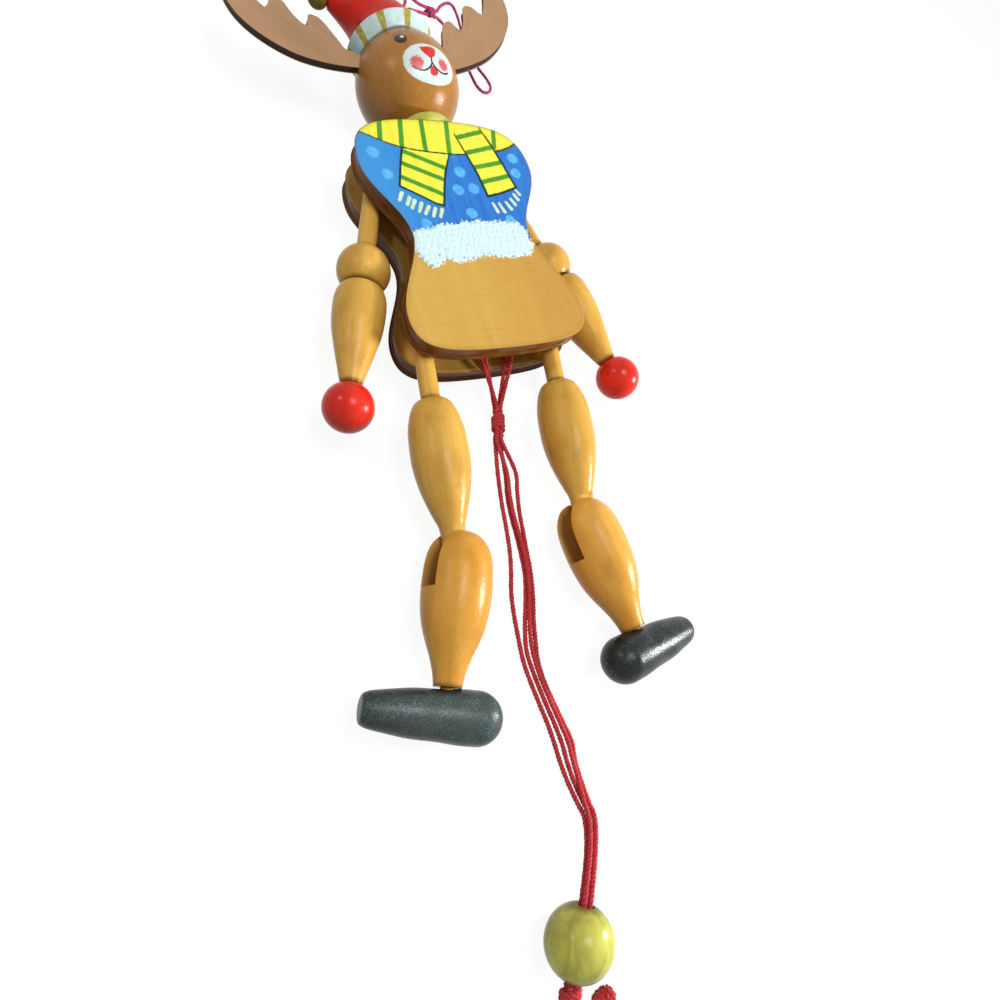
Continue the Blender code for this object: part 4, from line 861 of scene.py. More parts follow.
def add_turned(name, profile, place, material, body, replaces, marks, seed, boxes=(),
               saw=None, cut=None):
    """A turned limb with its grain and pooled varnish, cut by boxes if it has any.

    The boxes stand in the saw's frame: its matrix, and the height of its middle. Their
    faces can have a wood of their own, cut.
    """
    rings = spun(profile)
    points, faces, cut_faces = with_poles(rings), tube_faces(*rings.shape[:2]), []
    if boxes:
        way, middle = saw
        points, faces, cut_faces = cut_by_boxes((points - [0, middle, 0]) @ way, faces, boxes)
        points = points @ way.T + [0, middle, 0]
    values = {"own_mm": shifted_grain(points, seed), "pooled_and_shade": pooled_near(-points[:, 1], marks)}
    piece = add_piece(name, place(points), faces, [material, cut or material], body,
                      replaces, values, sharp=38)
    second_material(piece, cut_faces)
    return piece


def second_material(piece, numbers):
    """Gives these faces the second of the piece's materials."""
    index = np.zeros(len(piece.data.polygons), np.int32)
    index[numbers] = 1
    piece.data.polygons.foreach_set("material_index", index)


def cut_by_boxes(points, faces, boxes):
    """Boxes cut out of a closed mesh; gives the new mesh and the faces of the cuts."""
    def shape(name, coordinates, polygons):
        mesh = bpy.data.meshes.new(name)
        mesh.from_pydata(np.asarray(coordinates).tolist(), [], polygons)
        made = bpy.data.objects.new(name, mesh)
        scene.collection.objects.link(made)
        return made

    if signed_volume(points, faces) < 0:
        faces = [f[::-1] for f in faces]
    target = shape("being_cut", points, faces)
    cutters = []
    for low, high in boxes:
        corners = [[(low, high)[i][0], (low, high)[j][1], (low, high)[k][2]]
                   for k in (0, 1) for j in (0, 1) for i in (0, 1)]
        sides = [(0, 2, 3, 1), (4, 5, 7, 6), (0, 1, 5, 4), (2, 6, 7, 3), (0, 4, 6, 2),
                 (1, 3, 7, 5)]
        cutters.append(shape("saw", corners, sides))
        modifier = target.modifiers.new("cut", "BOOLEAN")
        modifier.operation = "DIFFERENCE"
        modifier.solver = "EXACT"
        modifier.object = cutters[-1]
    made = target.evaluated_get(bpy.context.evaluated_depsgraph_get()).to_mesh()
    new_points = np.zeros((len(made.vertices), 3), np.float32)
    made.vertices.foreach_get("co", new_points.ravel())
    new_faces = [list(p.vertices) for p in made.polygons]
    centres = np.array([p.center for p in made.polygons])
    on_cut = np.zeros(len(centres), bool)
    for low, high in boxes:
        near = np.minimum(np.abs(centres - low), np.abs(centres - high)) < ON_PLANE
        within = (centres > np.array(low) - ON_PLANE) & (centres < np.array(high) + ON_PLANE)
        on_cut |= near.any(1) & within.all(1)
    for o in [target, *cutters]:
        bpy.data.objects.remove(o)
    return new_points.astype(float), new_faces, np.flatnonzero(on_cut)


# %% Arms and hands
FOREARM = [(ARM_GROOVE, 5.2), (ARM_GROOVE + 1.2, 6.9), (ARM_GROOVE + 4.5, 7.9),
           (ARM_GROOVE + 9.5, 8.0), (ARM_GROOVE + 15, 7.5), (ARM_GROOVE + 21, 6.2),
           (ARM_GROOVE + 27, 4.7), (ARM_GROOVE + 31, 3.7), (WRIST, WRIST_RADIUS)]


def make_arm(side, seed):
    """Rod, elbow ball, groove, forearm and wrist, with the red ball on its end."""
    sign = SIGN[side]
    pivot = (sign * SHOULDER_PIN[0], SHOULDER_PIN[1], 0)

    def place(points):
        return laid(swung(points, sign * ARM_OUT[side], pivot))

    meets = sqrt(ELBOW_RADIUS ** 2 - ROD ** 2)
    profile = profile_of(ball_arc(ARM_LEVER, ROD, ARM_LEVER_END, ARM_LEVER, 8),
                         [(ARM_LEVER, ROD), (ELBOW - meets, ROD)],
                         ball_arc(ELBOW, ELBOW_RADIUS, ELBOW - meets, ARM_GROOVE - 0.2),
                         FOREARM, [(WRIST, WRIST_RADIUS), (WRIST, TENON_RADIUS)],
                         [(WRIST, TENON_RADIUS), (WRIST_TENON, TENON_RADIUS)])
    marks = [(ELBOW - meets, 0.8), (ARM_GROOVE - 0.1, 1.0), (WRIST - 0.2, 0.9)]
    add_turned(f"arm_{side}_turned", profile, place, limb_wood, f"arm_{side}",
               [f"arm_{side}"], marks, seed)
    rings = spun(arc(HAND_RADIUS, 0, pi, 49), 96)
    local = with_poles(rings)
    add_piece(f"hand_{side}_ball", place(local - [0, HAND, 0]), tube_faces(*rings.shape[:2]),
              hand_red, f"arm_{side}", [f"hand_{side}"],
              {"own_mm": shifted_grain(local, seed + 50)})


for seed, side in enumerate(SIGN):
    make_arm(side, seed)

# %% Thighs, shins and knee pins
NECK = 3.8
BULB = [(30.4, 3.8), (30.9, 4.7), (32.2, 6.1), (35.2, 7.4), (40.4, 8.5), (47, 8.8), (52, 8.6),
        (57, 7.8), (62, 6.5), (66.5, 5.0), (70.2, NECK), (76, 3.72), (KNEE, NECK)]
CALF = [(-10.3, 0.4), (-10.15, 2.2), (-9.7, 4.0), (-8.7, 5.8), (-7.1, 7.3), (-4.7, 8.7),
        (-1.3, 9.6), (3.0, 9.95), (7.0, 10.0), (12, 9.7), (17, 8.8), (21.5, 7.3), (25.5, 5.7),
        (29.5, 4.5), (ANKLE, ANKLE_RADIUS)]
SAW_REACH = 13.0


def make_leg(side, seed):
    """Thigh with its tongue and shin with its slot; gives the place of the shin's points."""
    sign = SIGN[side]
    hip = (sign * HIP_PIN[0], HIP_PIN[1], 0)

    def on_thigh(points):
        return swung(points, sign * THIGH_OUT[side], hip)

    knee = on_thigh([0, -KNEE, 0])

    def on_shin(points):
        return laid(swung(points, sign * SHIN_OUT[side], knee))

    profile = profile_of(
        ball_arc(LEG_LEVER, LEG_LEVER_RADIUS, LEG_LEVER_END, LEG_LEVER, 6),
        [(LEG_LEVER, LEG_LEVER_RADIUS), (LEG_LEVER_FOOT, ROD)],
        [(LEG_LEVER_FOOT, ROD), (THIGH_ROD_END, ROD)],
        BULB, ball_arc(KNEE, NECK, KNEE, KNEE + NECK, 8))
    far = SAW_REACH
    bend = sign * (SHIN_OUT[side] - THIGH_OUT[side])
    boxes = [((-far, -far, TONGUE_HALF), (far, TONGUE_RISE, far)),
             ((-far, -far, -far), (far, TONGUE_RISE, -TONGUE_HALF))]
    add_turned(f"thigh_{side}_turned", profile, lambda p: laid(on_thigh(p)), limb_wood,
               f"leg_{side}", [f"thigh_{side}"], [(THIGH_ROD_END, 0.9)],
               seed, boxes, (saw_way(KNEE_TWIST[side], bend), -KNEE))
    profile = profile_of(CALF, [(ANKLE, ANKLE_RADIUS), (ANKLE, TENON_RADIUS)],
                         [(ANKLE, TENON_RADIUS), (ANKLE_TENON, TENON_RADIUS)])
    boxes = [((-far, -SLOT_FLOOR, -SLOT_HALF), (far, far, SLOT_HALF))]
    # The shin's slot faces get the darker sawn wood, which includes painted shade.
    add_turned(f"shin_{side}_turned", profile, on_shin, shin_wood, f"shin_{side}",
               [f"shin_{side}"], [(ANKLE, 0.8)], seed + 10, boxes,
               (saw_way(KNEE_TWIST[side], 0), 0), sawn_wood)
    return on_shin


HEEL, HEEL_END, HEEL_RADIUS = -8.8, -16.0, 7.2
SHOE = [(HEEL, HEEL_RADIUS), (-3.8, 7.1), (2.2, 6.6), (9.2, 6.3), (15.2, 5.5), (20.0, 4.7),
        (21.7, 4.1)]
TOE = [(21.7, 4.1), (22.2, 3.75), (22.5, 3.1), (22.6, 2.4)]
# How strong the painted sheen on each shoe's upper side is, and where it starts and ends.
SHOE_SHEEN = {"left": 0.6, "right": 0.12}
SHOE_SHEEN_FROM, SHOE_SHEEN_DEPTH, SHOE_SHEEN_TO = 1.2, 4.6, 20.5


def make_shoe(side, on_shin, seed):
    """A teardrop turned about its own length, its toe outward, lifted and dropped a little.

    Its upper side has a painted sheen, stronger higher up, to where the toe is cut off flat.
    """
    sign = SIGN[side]
    profile = profile_of(ball_arc(HEEL, HEEL_RADIUS, HEEL_END, HEEL)[:-1], SHOE, TOE,
                         [TOE[-1], (TOE[-1][0], 0.0)])
    profile[:, 1] = np.maximum(profile[:, 1], 0)
    rings = spun(profile, 84)
    across, along, up = np.moveaxis(with_poles(rings), -1, 0)
    own = np.stack([-sign * along, across, up], -1)
    local = own @ saw_way(-sign * TOE_LIFT[side], -sign * TOE_DROP[side]).T
    sheen_share = SHOE_SHEEN[side] * np.clip((up - SHOE_SHEEN_FROM) / SHOE_SHEEN_DEPTH, 0, 1)
    values = {"own_mm": shifted_grain(np.stack([across, -along, up], -1), seed + 70),
              "sheen_share": sheen_share * np.clip((SHOE_SHEEN_TO - along) / 2, 0, 1)}
    return add_piece(f"shoe_{side}_turned", on_shin(local - [0, ANKLE + SHOE_DROP, 0]),
                     tube_faces(*rings.shape[:2]), shoe_black, f"shin_{side}",
                     [f"shoe_{side}"], values, sharp=50)


for seed, side in enumerate(SIGN):
    make_shoe(side, make_leg(side, seed + 20), seed)

# %% [markdown]
# The head is a varnished ball with a face painted on it by hand: a white muzzle, a red
# nose, two dabbed cheeks, a thin mouth with its tongue, and two dark eyes, each with a
# painted highlight.
# To draw on a ball, each of its points is given flat coordinates round the middle of the
# muzzle, at its true distance and bearing from there, in millimetres along the surface.
# Distances to strokes then work just as on the board.

# %% Head frame and face
HEAD = (0.7, 60.8, 0.0)
HEAD_RADIUS = 18.1
HEAD_ROLL = 4.9
FACE_DIRECTION = np.array([0.08, -0.32, 0.94])
NOSE = [(-3.1, 4.6), (-1.0, 5.2), (1.5, 5.55), (2.8, 5.1), (2.85, 3.9), (2.1, 2.4), (0.7, 1.3),
        (-0.2, 1.45), (-1.4, 2.2), (-2.5, 3.2)]
MOUTH = [[(0.5, 1.5), (0.45, 0.6), (0.55, -0.1)],
         [(0.55, -0.1), (-0.1, -1.3), (-1.1, -2.2), (-2.5, -2.85), (-3.9, -2.85), (-5.1, -2.5),
          (-6.1, -1.9)],
         [(0.55, -0.1), (1.15, -0.9), (2.2, -1.8), (3.7, -2.45), (5.6, -2.5), (7.3, -1.7)]]
TONGUE = [(0.2, -1.2), (0.9, -0.95), (1.85, -1.5), (2.5, -2.1), (2.7, -2.95), (1.9, -3.8),
          (0.7, -4.15), (-0.3, -3.6), (-0.6, -2.6)]
CHEEKS = [(-4.85, -0.6, 2.3, 2.2), (5.3, 0.25, 2.05, 1.95)]
EYES = [(-8.4, 8.75), (10.2, 10.1)]
EYE_HALF = (2.2, 2.3)
MUZZLE, MUZZLE_HALF = (0.5, -0.15), (9.85, 6.5)
# Where the painted highlight under the cuff starts, and how deep it reaches.
TOP_HIGHLIGHT_FROM, TOP_HIGHLIGHT_DEPTH = 9.6, 3.0
FLAT_TOP = 12.0
BROWS = [[(-10.9, 10.7), (-10.0, 11.8), (-8.8, 12.3), (-7.0, 12.3)],
         [(2.1, 12.5), (3.5, 12.6), (4.8, 12.2), (6.9, 11.0)]]


def in_head(points):
    """Points of the head's own frame, rolled and moved to its place on the toy."""
    return laid(swung(points, HEAD_ROLL, HEAD))


def face_chart(directions):
    """Flat coordinates round the muzzle: bearing kept, distance = radius x angle."""
    n = FACE_DIRECTION / np.linalg.norm(FACE_DIRECTION)
    e = np.cross([0, 1, 0], n)
    e = e / np.linalg.norm(e)
    f = np.cross(n, e)
    angle = np.arccos(np.clip(directions @ n, -1, 1))
    flat = np.stack([directions @ e, directions @ f], -1)
    size = np.maximum(np.linalg.norm(flat, axis=1), 1e-9)
    return flat / size[:, None] * (HEAD_RADIUS * angle)[:, None]


def face_paint(p):
    """The distance to each paint's edge on the flat face, in millimetres.

    An ellipse's distance is (|point / half sizes| - 1) times its smaller half size, which
    is close enough at its edge.
    """
    wobble = 0.16 * (lumps(p, 2.2, 31) - 0.5)
    q = (p - MUZZLE) / MUZZLE_HALF
    muzzle = (np.linalg.norm(np.abs(q) ** 1.05, axis=1) - 1) * 6.4
    cheeks = np.min([np.hypot((p[:, 0] - x) / a, (p[:, 1] - y) / b) for x, y, a, b in CHEEKS], 0)
    eyes = np.min([np.linalg.norm((p - eye) / EYE_HALF, axis=1) for eye in EYES], 0)
    # Each eye gets a painted highlight, a pale dot up and to the right of its middle.
    painted_eye_highlight = [(x + 0.7, y + 0.75, 0.7) for x, y in EYES]
    return {"muzzle": muzzle + wobble, "nose": to_shape(p, NOSE) + wobble,
            "cheeks": (cheeks - 1) * 2.1, "eyes": (eyes - 1) * 2 + wobble,
            "painted_eye_highlight": to_dots(p, painted_eye_highlight), "tongue": to_shape(p, TONGUE) + wobble,
            "mouth": np.min([to_path(p, m, 0.27) for m in MOUTH], 0) + 0.3 * wobble,
            "brows": np.min([to_path(p, b, 0.2) for b in BROWS], 0) + 1.2 * wobble}


def make_face_paint():
    """The face over varnished wood: each paint covers what lies below it.

    Last comes a painted highlight in pale crumbs on the front, just under the cuff.
    """
    material, shader = new_material("painted_head", "#B48138", Specular_IOR_Level=0.26)
    place = read_value(material, "own_mm", "Vector")

    def covers(name, soft=0.08):
        return remap(material, read_value(material, name), soft, -soft)

    base = wood_colour(material, place, "#B97E34", "#AC722B", "#80500F")
    crack = noise(material, scaled_place(material, place, (1.0, 0.05, 1.0)), 1.6, 2.0, 0.5, 0.3)
    base = mixed(material, remap(material, crack, 0.70, 0.74, 0.0, 0.4), base, "#6E4516")
    dab = noise(material, place, 0.55, 3.0, 0.7)
    white = mixed(material, remap(material, noise(material, place, 4.0), 0.35, 0.65),
                  "#CFE2E4", "#E2F0EE")
    base = mixed(material, covers("muzzle", 0.12), base, white)
    dabbed = sums(material, "ADD", read_value(material, "cheeks"),
                  remap(material, dab, 0.3, 0.7, -0.55, 0.55))
    base = mixed(material, remap(material, dabbed, 0.2, -0.3, 0.0, 0.95), base, "#DA4A50")
    base = mixed(material, covers("tongue", 0.14), base, "#D23F42")
    red = mixed(material, remap(material, dab, 0.35, 0.65), "#CC261E", "#E4382C")
    base = mixed(material, covers("nose", 0.14), base, red)
    base = mixed(material, covers("mouth", 0.06), base, "#1E2A26")
    base = mixed(material, covers("brows", 0.12), base, "#3E2C0E")
    iris = mixed(material, remap(material, noise(material, place, 1.8), 0.4, 0.62), "#1E1806",
                 "#4A3E18")
    base = mixed(material, covers("eyes", 0.12), base, iris)
    # The pale dot on each eye is a painted highlight.
    base = mixed(material, covers("painted_eye_highlight", 0.12), base, "#F2E9C8")
    # Painted highlight: pale crumbs along the top of the face, under the cuff.
    painted_top_highlight = sums(material, "ADD", read_value(material, "painted_top_highlight"),
                 remap(material, dab, 0.3, 0.7, -0.6, 0.6))
    base = mixed(material, remap(material, painted_top_highlight, 0.3, 1.1, 0.0, 0.8), base, "#E2CF96")
    link(material, base, shader.inputs["Base Color"])
    varnish(material, shader, place)
    return material


def make_head():
    """The ball, flat under the hat, with the face's distances at every point."""
    top = sqrt(HEAD_RADIUS ** 2 - FLAT_TOP ** 2)
    profile = np.concatenate([arc(HEAD_RADIUS, pi, atan2(top, FLAT_TOP), 190),
                              [(FLAT_TOP, top * 0.5), (FLAT_TOP, 0.05)]])
    rings = spun(profile * [-1, 1], 380)
    local = with_poles(rings)
    toy_way = swung(local, HEAD_ROLL, (0, 0, 0))
    size = np.maximum(np.linalg.norm(toy_way, axis=1), 1e-9)[:, None]
    # The last value places the painted highlight on the front, just under the cuff.
    values = {"own_mm": local, **face_paint(face_chart(toy_way / size)),
              "painted_top_highlight": np.clip((local[:, 1] - TOP_HIGHLIGHT_FROM) / TOP_HIGHLIGHT_DEPTH, 0, 1)
              * (local[:, 2] > 0)}
    return add_piece("head_ball", in_head(local), tube_faces(*rings.shape[:2]),
                     make_face_paint(), "torso", ["head"], values, sharp=45)


head = make_head()
print("head:", len(head.data.vertices), "points")

# %% [markdown]
# The collar stands under the head. The cuff, the cone and the hat's tip are in the head's
# own frame, which is rolled a little. The cone leans over to the left, so its sections
# follow a curve and shrink on the way. The
# antlers were sawn from thin board, so each is an outline with softened edges: stained
# faces with an open grain, and dark edges where the stain soaked into the end grain.

# %% Collar and cuff


def rounded(corners, radius, step=0.12):
    """A profile of straight stretches whose inner corners are rounded a little."""
    corners = np.asarray(corners, float)
    out = [corners[0]]
    for a, b, c in zip(corners, corners[1:], corners[2:]):
        into, away = (b - a) / np.linalg.norm(b - a), (c - b) / np.linalg.norm(c - b)
        r = min(radius, np.linalg.norm(b - a) * 0.45, np.linalg.norm(c - b) * 0.45)
        t = np.linspace(0, 1, 7)[:, None]
        out.extend((b - into * r) * (1 - t) ** 2 + b * 2 * t * (1 - t) + (b + away * r) * t ** 2)
    out.append(corners[-1])
    return resampled(np.array(out), step)


COLLAR_FOOT, COLLAR_RADIUS, COLLAR_MEETS = 37.3, 10.4, 8.0


def make_collar():
    """A turned ring from the boards up to where the ball comes down to a radius it meets."""
    foot, wide = COLLAR_FOOT, COLLAR_RADIUS
    top = HEAD[1] - sqrt(HEAD_RADIUS ** 2 - COLLAR_MEETS ** 2) - 0.3
    profile = rounded([(foot, 0.4), (foot, wide - 1), (foot + 1.3, wide), (top - 2.6, wide),
                       (top - 1.2, 9.0), (top - 0.3, 6.0), (top - 0.5, 0.4)], 0.7)
    rings = spun(profile * [-1, 1], 96)
    local = with_poles(rings)
    add_piece("neck_collar_ring", laid(local + [HEAD[0], 0, 0]), tube_faces(*rings.shape[:2]),
              collar_green, "torso", ["neck_collar"],
              {"own_mm": shifted_grain(local, 91)}, sharp=40)


CUFF_LOW, CUFF_HIGH = 12.3, 18.1
CUFF_RADII = (14.1, 16.0)
CUFF_FACE = 12.5
NO_STROKE = 9.0
CUFF_STROKES = [(-62.8, -60.8, 1.25, 1.2), (-30.3, -28.0, 1.0, 1.5), (3.6, 8.7, 1.2, 1.5),
                (50.0, 55.0, 0.9, 1.2), (88.0, 93.0, 1.1, 1.3), (124.0, 128.0, 1.0, 1.3),
                (159.0, 165.0, 1.2, 1.3), (-164.0, -158.0, 1.0, 1.4), (-129.0, -124.0, 1.2, 1.3),
                (-96.0, -92.0, 1.0, 1.4)]


def make_cuff_paint():
    """White enamel with gold strokes that lean across the band, thin at their ends."""
    material, shader = new_material("cuff_white_and_gold", "#CDEBE6", Roughness=0.42,
                                    Specular_IOR_Level=0.3)
    place = read_value(material, "own_mm", "Vector")
    cloud = noise(material, place, 3.0, 3.0)
    dabs = noise(material, place, 0.9, 4.0, 0.65)
    white = mixed(material, remap(material, cloud, 0.3, 0.7), "#BFDAD6", "#D6ECE8")
    gold = mixed(material, remap(material, dabs, 0.35, 0.65), "#8E8630", "#C0B85A")
    edge = remap(material, read_value(material, "gold"), 0.14, -0.14)
    base = mixed(material, edge, white, gold)
    # At its lower edge, where it sits on the head, the white turns grey-green: painted shade.
    base = mixed(material, read_value(material, "pooled_and_shade"), base, "#6E7C70")
    link(material, base, shader.inputs["Base Color"])
    raise_by(material, shader, dabs, 0.10)
    return material


def make_cuff():
    """The band, widening upward, with the distance to its strokes at every point.

    A stroke has the bearings of its two ends in degrees, low and high, and two half widths.
    """
    low, high = CUFF_RADII
    profile = rounded([(CUFF_LOW, 0.3), (CUFF_LOW, low - 0.3), (CUFF_HIGH - 0.1, high),
                       (CUFF_HIGH, 0.3)], 0.8, 0.14)
    rings = spun(profile * [-1, 1], 300)
    local = with_poles(rings)
    around = np.degrees(np.arctan2(local[:, 0], local[:, 2]))
    height = local[:, 1]
    share = (height - CUFF_LOW) / (CUFF_HIGH - CUFF_LOW)
    gold = np.full(len(local), NO_STROKE)
    for start, end, narrow, wide in CUFF_STROKES:
        off = (around - start - (end - start) * share + 180) % 360 - 180
        gold = np.minimum(gold, np.radians(np.abs(off)) * high - narrow
                          - (wide - narrow) * share)
    gold += 0.35 * (lumps(np.stack([around * 0.27, height], -1), 1.6, 44) - 0.5)
    # On the cuff this value marks painted shade along the lower edge, where it meets the head.
    values = {"own_mm": local, "pooled_and_shade": pooled_near(height, [(CUFF_LOW, 0.7)], 0.35),
              "gold": np.where(np.hypot(local[:, 0], local[:, 2]) > CUFF_FACE, gold, NO_STROKE)}
    add_piece("hat_cuff_band", in_head(local), tube_faces(*rings.shape[:2]),
              make_cuff_paint(), "torso", ["hat_cuff"], values, sharp=50)


make_collar()
make_cuff()
print("collar and cuff with", len(CUFF_STROKES), "strokes")

# %% The leaning hat, its tip and the wire eye
HAT_FOOT = np.array([0.0, CUFF_HIGH + 0.3, 0.0])
HAT_LEAN = np.array([-16.0, 19.2, 0.0])
HAT_RADII = (13.5, 2.6)
HAT_SECTIONS = [(0.0, 0.02), (0.0, 0.5), (0.0, 0.9), (0.0, 0.96), (0.004, 0.985), (0.012, 0.997),
                *[(share, 1.0) for share in np.linspace(0.03, 0.985, 60)],
                (0.995, 0.93), (1.0, 0.8), (1.0, 0.1)]
TIP_RADIUS, TIP_SUNK = 3.5, 0.2
EYE_RING, EYE_WIRE, EYE_SHANK, EYE_SHARE = 1.9, 0.4, 4.0, 0.30
EYE_RAISED, EYE_AROUND, EYE_SECTION = 0.3, 64, 16


def hat_line(share):
    """Middle, direction and radius of the hat's section, from its foot (0) to its end (1).

    The middle is a cubic from the foot that starts upright and ends along the lean.
    """
    t, s = share, 1 - share
    a, d = HAT_FOOT, HAT_FOOT + HAT_LEAN
    b = a + [0, HAT_LEAN[1] * 0.55, 0]
    c = d - [HAT_LEAN[0] * 0.45, HAT_LEAN[1] * 0.10, 0]
    middle = a * s ** 3 + b * 3 * s * s * t + c * 3 * s * t * t + d * t ** 3
    slope = (b - a) * 3 * s * s + (c - b) * 6 * s * t + (d - c) * 3 * t * t
    radius = HAT_RADII[1] + (HAT_RADII[0] - HAT_RADII[1]) * (1 - t ** 1.25)
    return middle, slope / np.linalg.norm(slope), radius


def make_hat():
    """Sections along the hat's line, each square to it, and the ball on its end."""
    u = np.linspace(0, 2 * pi, 96, endpoint=False)
    rings = []
    for share, shrink in HAT_SECTIONS:
        middle, slope, radius = hat_line(share)
        side = np.array([slope[1], -slope[0], 0])
        ring = radius * shrink * (np.cos(u)[:, None] * side + np.sin(u)[:, None] * [0, 0, 1.0])
        rings.append(middle + ring)
    rings = np.stack(rings)
    local = with_poles(rings)
    add_piece("hat_cone_turned", in_head(local), tube_faces(*rings.shape[:2]), hat_red, "torso",
              ["hat_cone"], {"own_mm": local}, sharp=50)
    end, slope, _ = hat_line(1.0)
    rings = spun(arc(TIP_RADIUS, pi, 0, 40), 64)
    local = with_poles(rings)
    add_piece("hat_tip_ball", in_head(local + end + slope * (TIP_RADIUS - TIP_SUNK)),
              tube_faces(*rings.shape[:2]), tip_gold, "torso", ["hat_tip"],
              {"own_mm": local})


def wrap_faces(rows, columns):
    """Quads of a grid that closes both ways, as on a ring."""
    i, j = np.meshgrid(np.arange(rows), np.arange(columns), indexing="ij")
    m, k = (i + 1) % rows, (j + 1) % columns
    return np.stack([i * columns + j, i * columns + k, m * columns + k, m * columns + j],
                    -1).reshape(-1, 4).tolist()


def make_eye():
    """A ring of wire and the shank that screws it into the hat."""
    middle, slope, radius = hat_line(EYE_SHARE)
    outward = np.array([slope[1], -slope[0], 0])
    place = middle + outward * (radius + EYE_RING + EYE_WIRE + EYE_RAISED)
    tilt = atan2(-outward[0], outward[1]) * 180 / pi
    a, b = np.meshgrid(np.linspace(0, 2 * pi, EYE_AROUND, endpoint=False),
                       np.linspace(0, 2 * pi, EYE_SECTION, endpoint=False), indexing="ij")
    reach = EYE_RING + EYE_WIRE * np.cos(b)
    ring = np.stack([reach * np.cos(a), reach * np.sin(a), EYE_WIRE * np.sin(b)],
                    -1).reshape(-1, 3)
    foot = EYE_RING + EYE_SHANK
    shank = spun([(EYE_RING - 0.1, EYE_WIRE * 1.2), (foot - 0.8, EYE_WIRE * 1.2),
                  (foot, EYE_WIRE * 0.3)], 20)
    points = np.concatenate([ring, with_poles(shank)])
    faces = wrap_faces(EYE_AROUND, EYE_SECTION)
    faces += [[v + len(ring) for v in f] for f in tube_faces(*shank.shape[:2])[::-1]]
    add_piece("hanger_eye_wire", in_head(swung(points, tilt, place)), faces, steel, "torso",
              ["hanger_eye"], sharp=60)


make_hat()
make_eye()
print("hat, tip and eye made")

# %% Antlers
ANTLER_HALF = 1.25
ANTLER_EDGE = [(0.42, 0.0), (0.2, 0.06), (0.05, 0.22), (0.0, 0.45)]
ANTLER_GRAIN, ANTLER_GRAIN_AT = 38, (40, 7, 0)
ANTLER_LEVEL = {"left": 2.2, "right": -0.8}
ANTLER_LEAN = {"left": 0.0, "right": 9.4}
ANTLER_SWEEP = [(13.0, 5.6), (20.9, 6.2), (28.8, 7.6), (36.3, 10.3), (42.9, 14.9), (48.3, 20.9),
                (51.3, 27.0), (52.4, 34.0), (51.5, 39.0), (49.2, 41.4)]
ANTLER_TINE_3 = [(46.8, 40.0), (45.0, 35.0), (43.0, 30.5), (41.2, 27.8)]
ANTLER_TINE_2 = [(39.5, 29.2), (38.0, 31.8), (36.2, 32.5), (34.5, 31.2), (33.2, 27.0),
                 (31.2, 23.0), (29.0, 21.2)]
ANTLER_TINE_1 = [(28.0, 23.8), (26.8, 26.3), (24.8, 25.8), (23.4, 24.0), (22.1, 20.6),
                 (20.5, 16.0), (19.4, 13.0), (14.8, 10.2)]
ANTLER_TAB = [(11.5, 10.2), (11.5, 5.6)]


def make_antler_stain(name, pale, middle, deep):
    """Thin pinkish stain that leaves the open grain dark and the wood pale between."""
    material, shader = new_material(name, middle, Roughness=0.5, Specular_IOR_Level=0.25)
    place = read_value(material, "own_mm", "Vector")
    cloud = noise(material, scaled_place(material, place, (1.0, 0.2, 1.0)), 7.0, 2.0)
    base = mixed(material, remap(material, cloud, 0.3, 0.7), middle, pale)
    pores = noise(material, scaled_place(material, place, (1.0, 0.05, 1.0)), 0.5, 3.0)
    base = mixed(material, remap(material, pores, 0.58, 0.75, 0.0, 0.3), base, deep)
    link(material, base, shader.inputs["Base Color"])
    raise_by(material, shader, pores, 0.05)
    return material


antler_face = make_antler_stain("antler_stained_face", "#C29A74", "#B68D68", "#94694A")
antler_edge = make_antler_stain("antler_stained_edge", "#3E2816", "#2C1B0E", "#1A1008")


def make_antler(side):
    """The outline with its edges softened: insets on both faces and a strip between."""
    sign = SIGN[side]
    outline = np.concatenate([smooth(ANTLER_SWEEP, 0.5), smooth(ANTLER_TINE_3, 0.5),
                              smooth(ANTLER_TINE_2, 0.5), smooth(ANTLER_TINE_1, 0.5),
                              np.array(ANTLER_TAB)]) * [sign, 1]
    levels = [(inset, ANTLER_HALF - below) for inset, below in ANTLER_EDGE]
    levels += [(inset, -z) for inset, z in levels[::-1]]
    count = len(outline)
    rings = np.stack([np.column_stack([inward(outline, -sign * inset), np.full(count, z)])
                      for inset, z in levels])
    faces = grid_faces(len(rings), count)
    strip = len(faces)
    faces += [list(range(count))[::-1], [(len(rings) - 1) * count + n for n in range(count)]]
    points = rings.reshape(-1, 3)
    points[:, 2] += ANTLER_LEVEL[side]
    a = -sign * radians(ANTLER_LEAN[side])
    x, z = points[:, 0].copy(), points[:, 2].copy()
    points[:, 0], points[:, 2] = x * cos(a) + z * sin(a), -x * sin(a) + z * cos(a)
    grain = swung(points, sign * ANTLER_GRAIN, ANTLER_GRAIN_AT * np.array([sign, 1, 1]))
    piece = add_piece(f"antler_{side}_sawn", in_head(points), faces, [antler_face, antler_edge],
                      "torso", [f"antler_{side}"], {"own_mm": grain}, sharp=40)
    second_material(piece, slice(count, strip - count))


for side in SIGN:
    make_antler(side)
print("head dressed")

# %% [markdown]
# The pull cord is crimson twine of three plies, doubled twice into four strands that hang
# from a knot below the body, run side by side over the surface and climb into the bead.
# A ply shows as a lobe of the section that turns steadily along the cord. With R the
# radius and u the angle round the section, the section is R (0.84 + 0.28 |cos 1.5 (u - w)|),
# and w grows by one turn per lay length. Knots are a bundle with turns wound round it.

# %% Twisted cords
CORD = 1.3
STRAND_SPACE = 0.85
HANGER_CORD = 1.1
LAY_LENGTH = 3.4
PLIES, PLY_FLOOR, PLY_LOBE = 3, 0.84, 0.28
CORD_AROUND = 18
CORD_STEP = 0.27


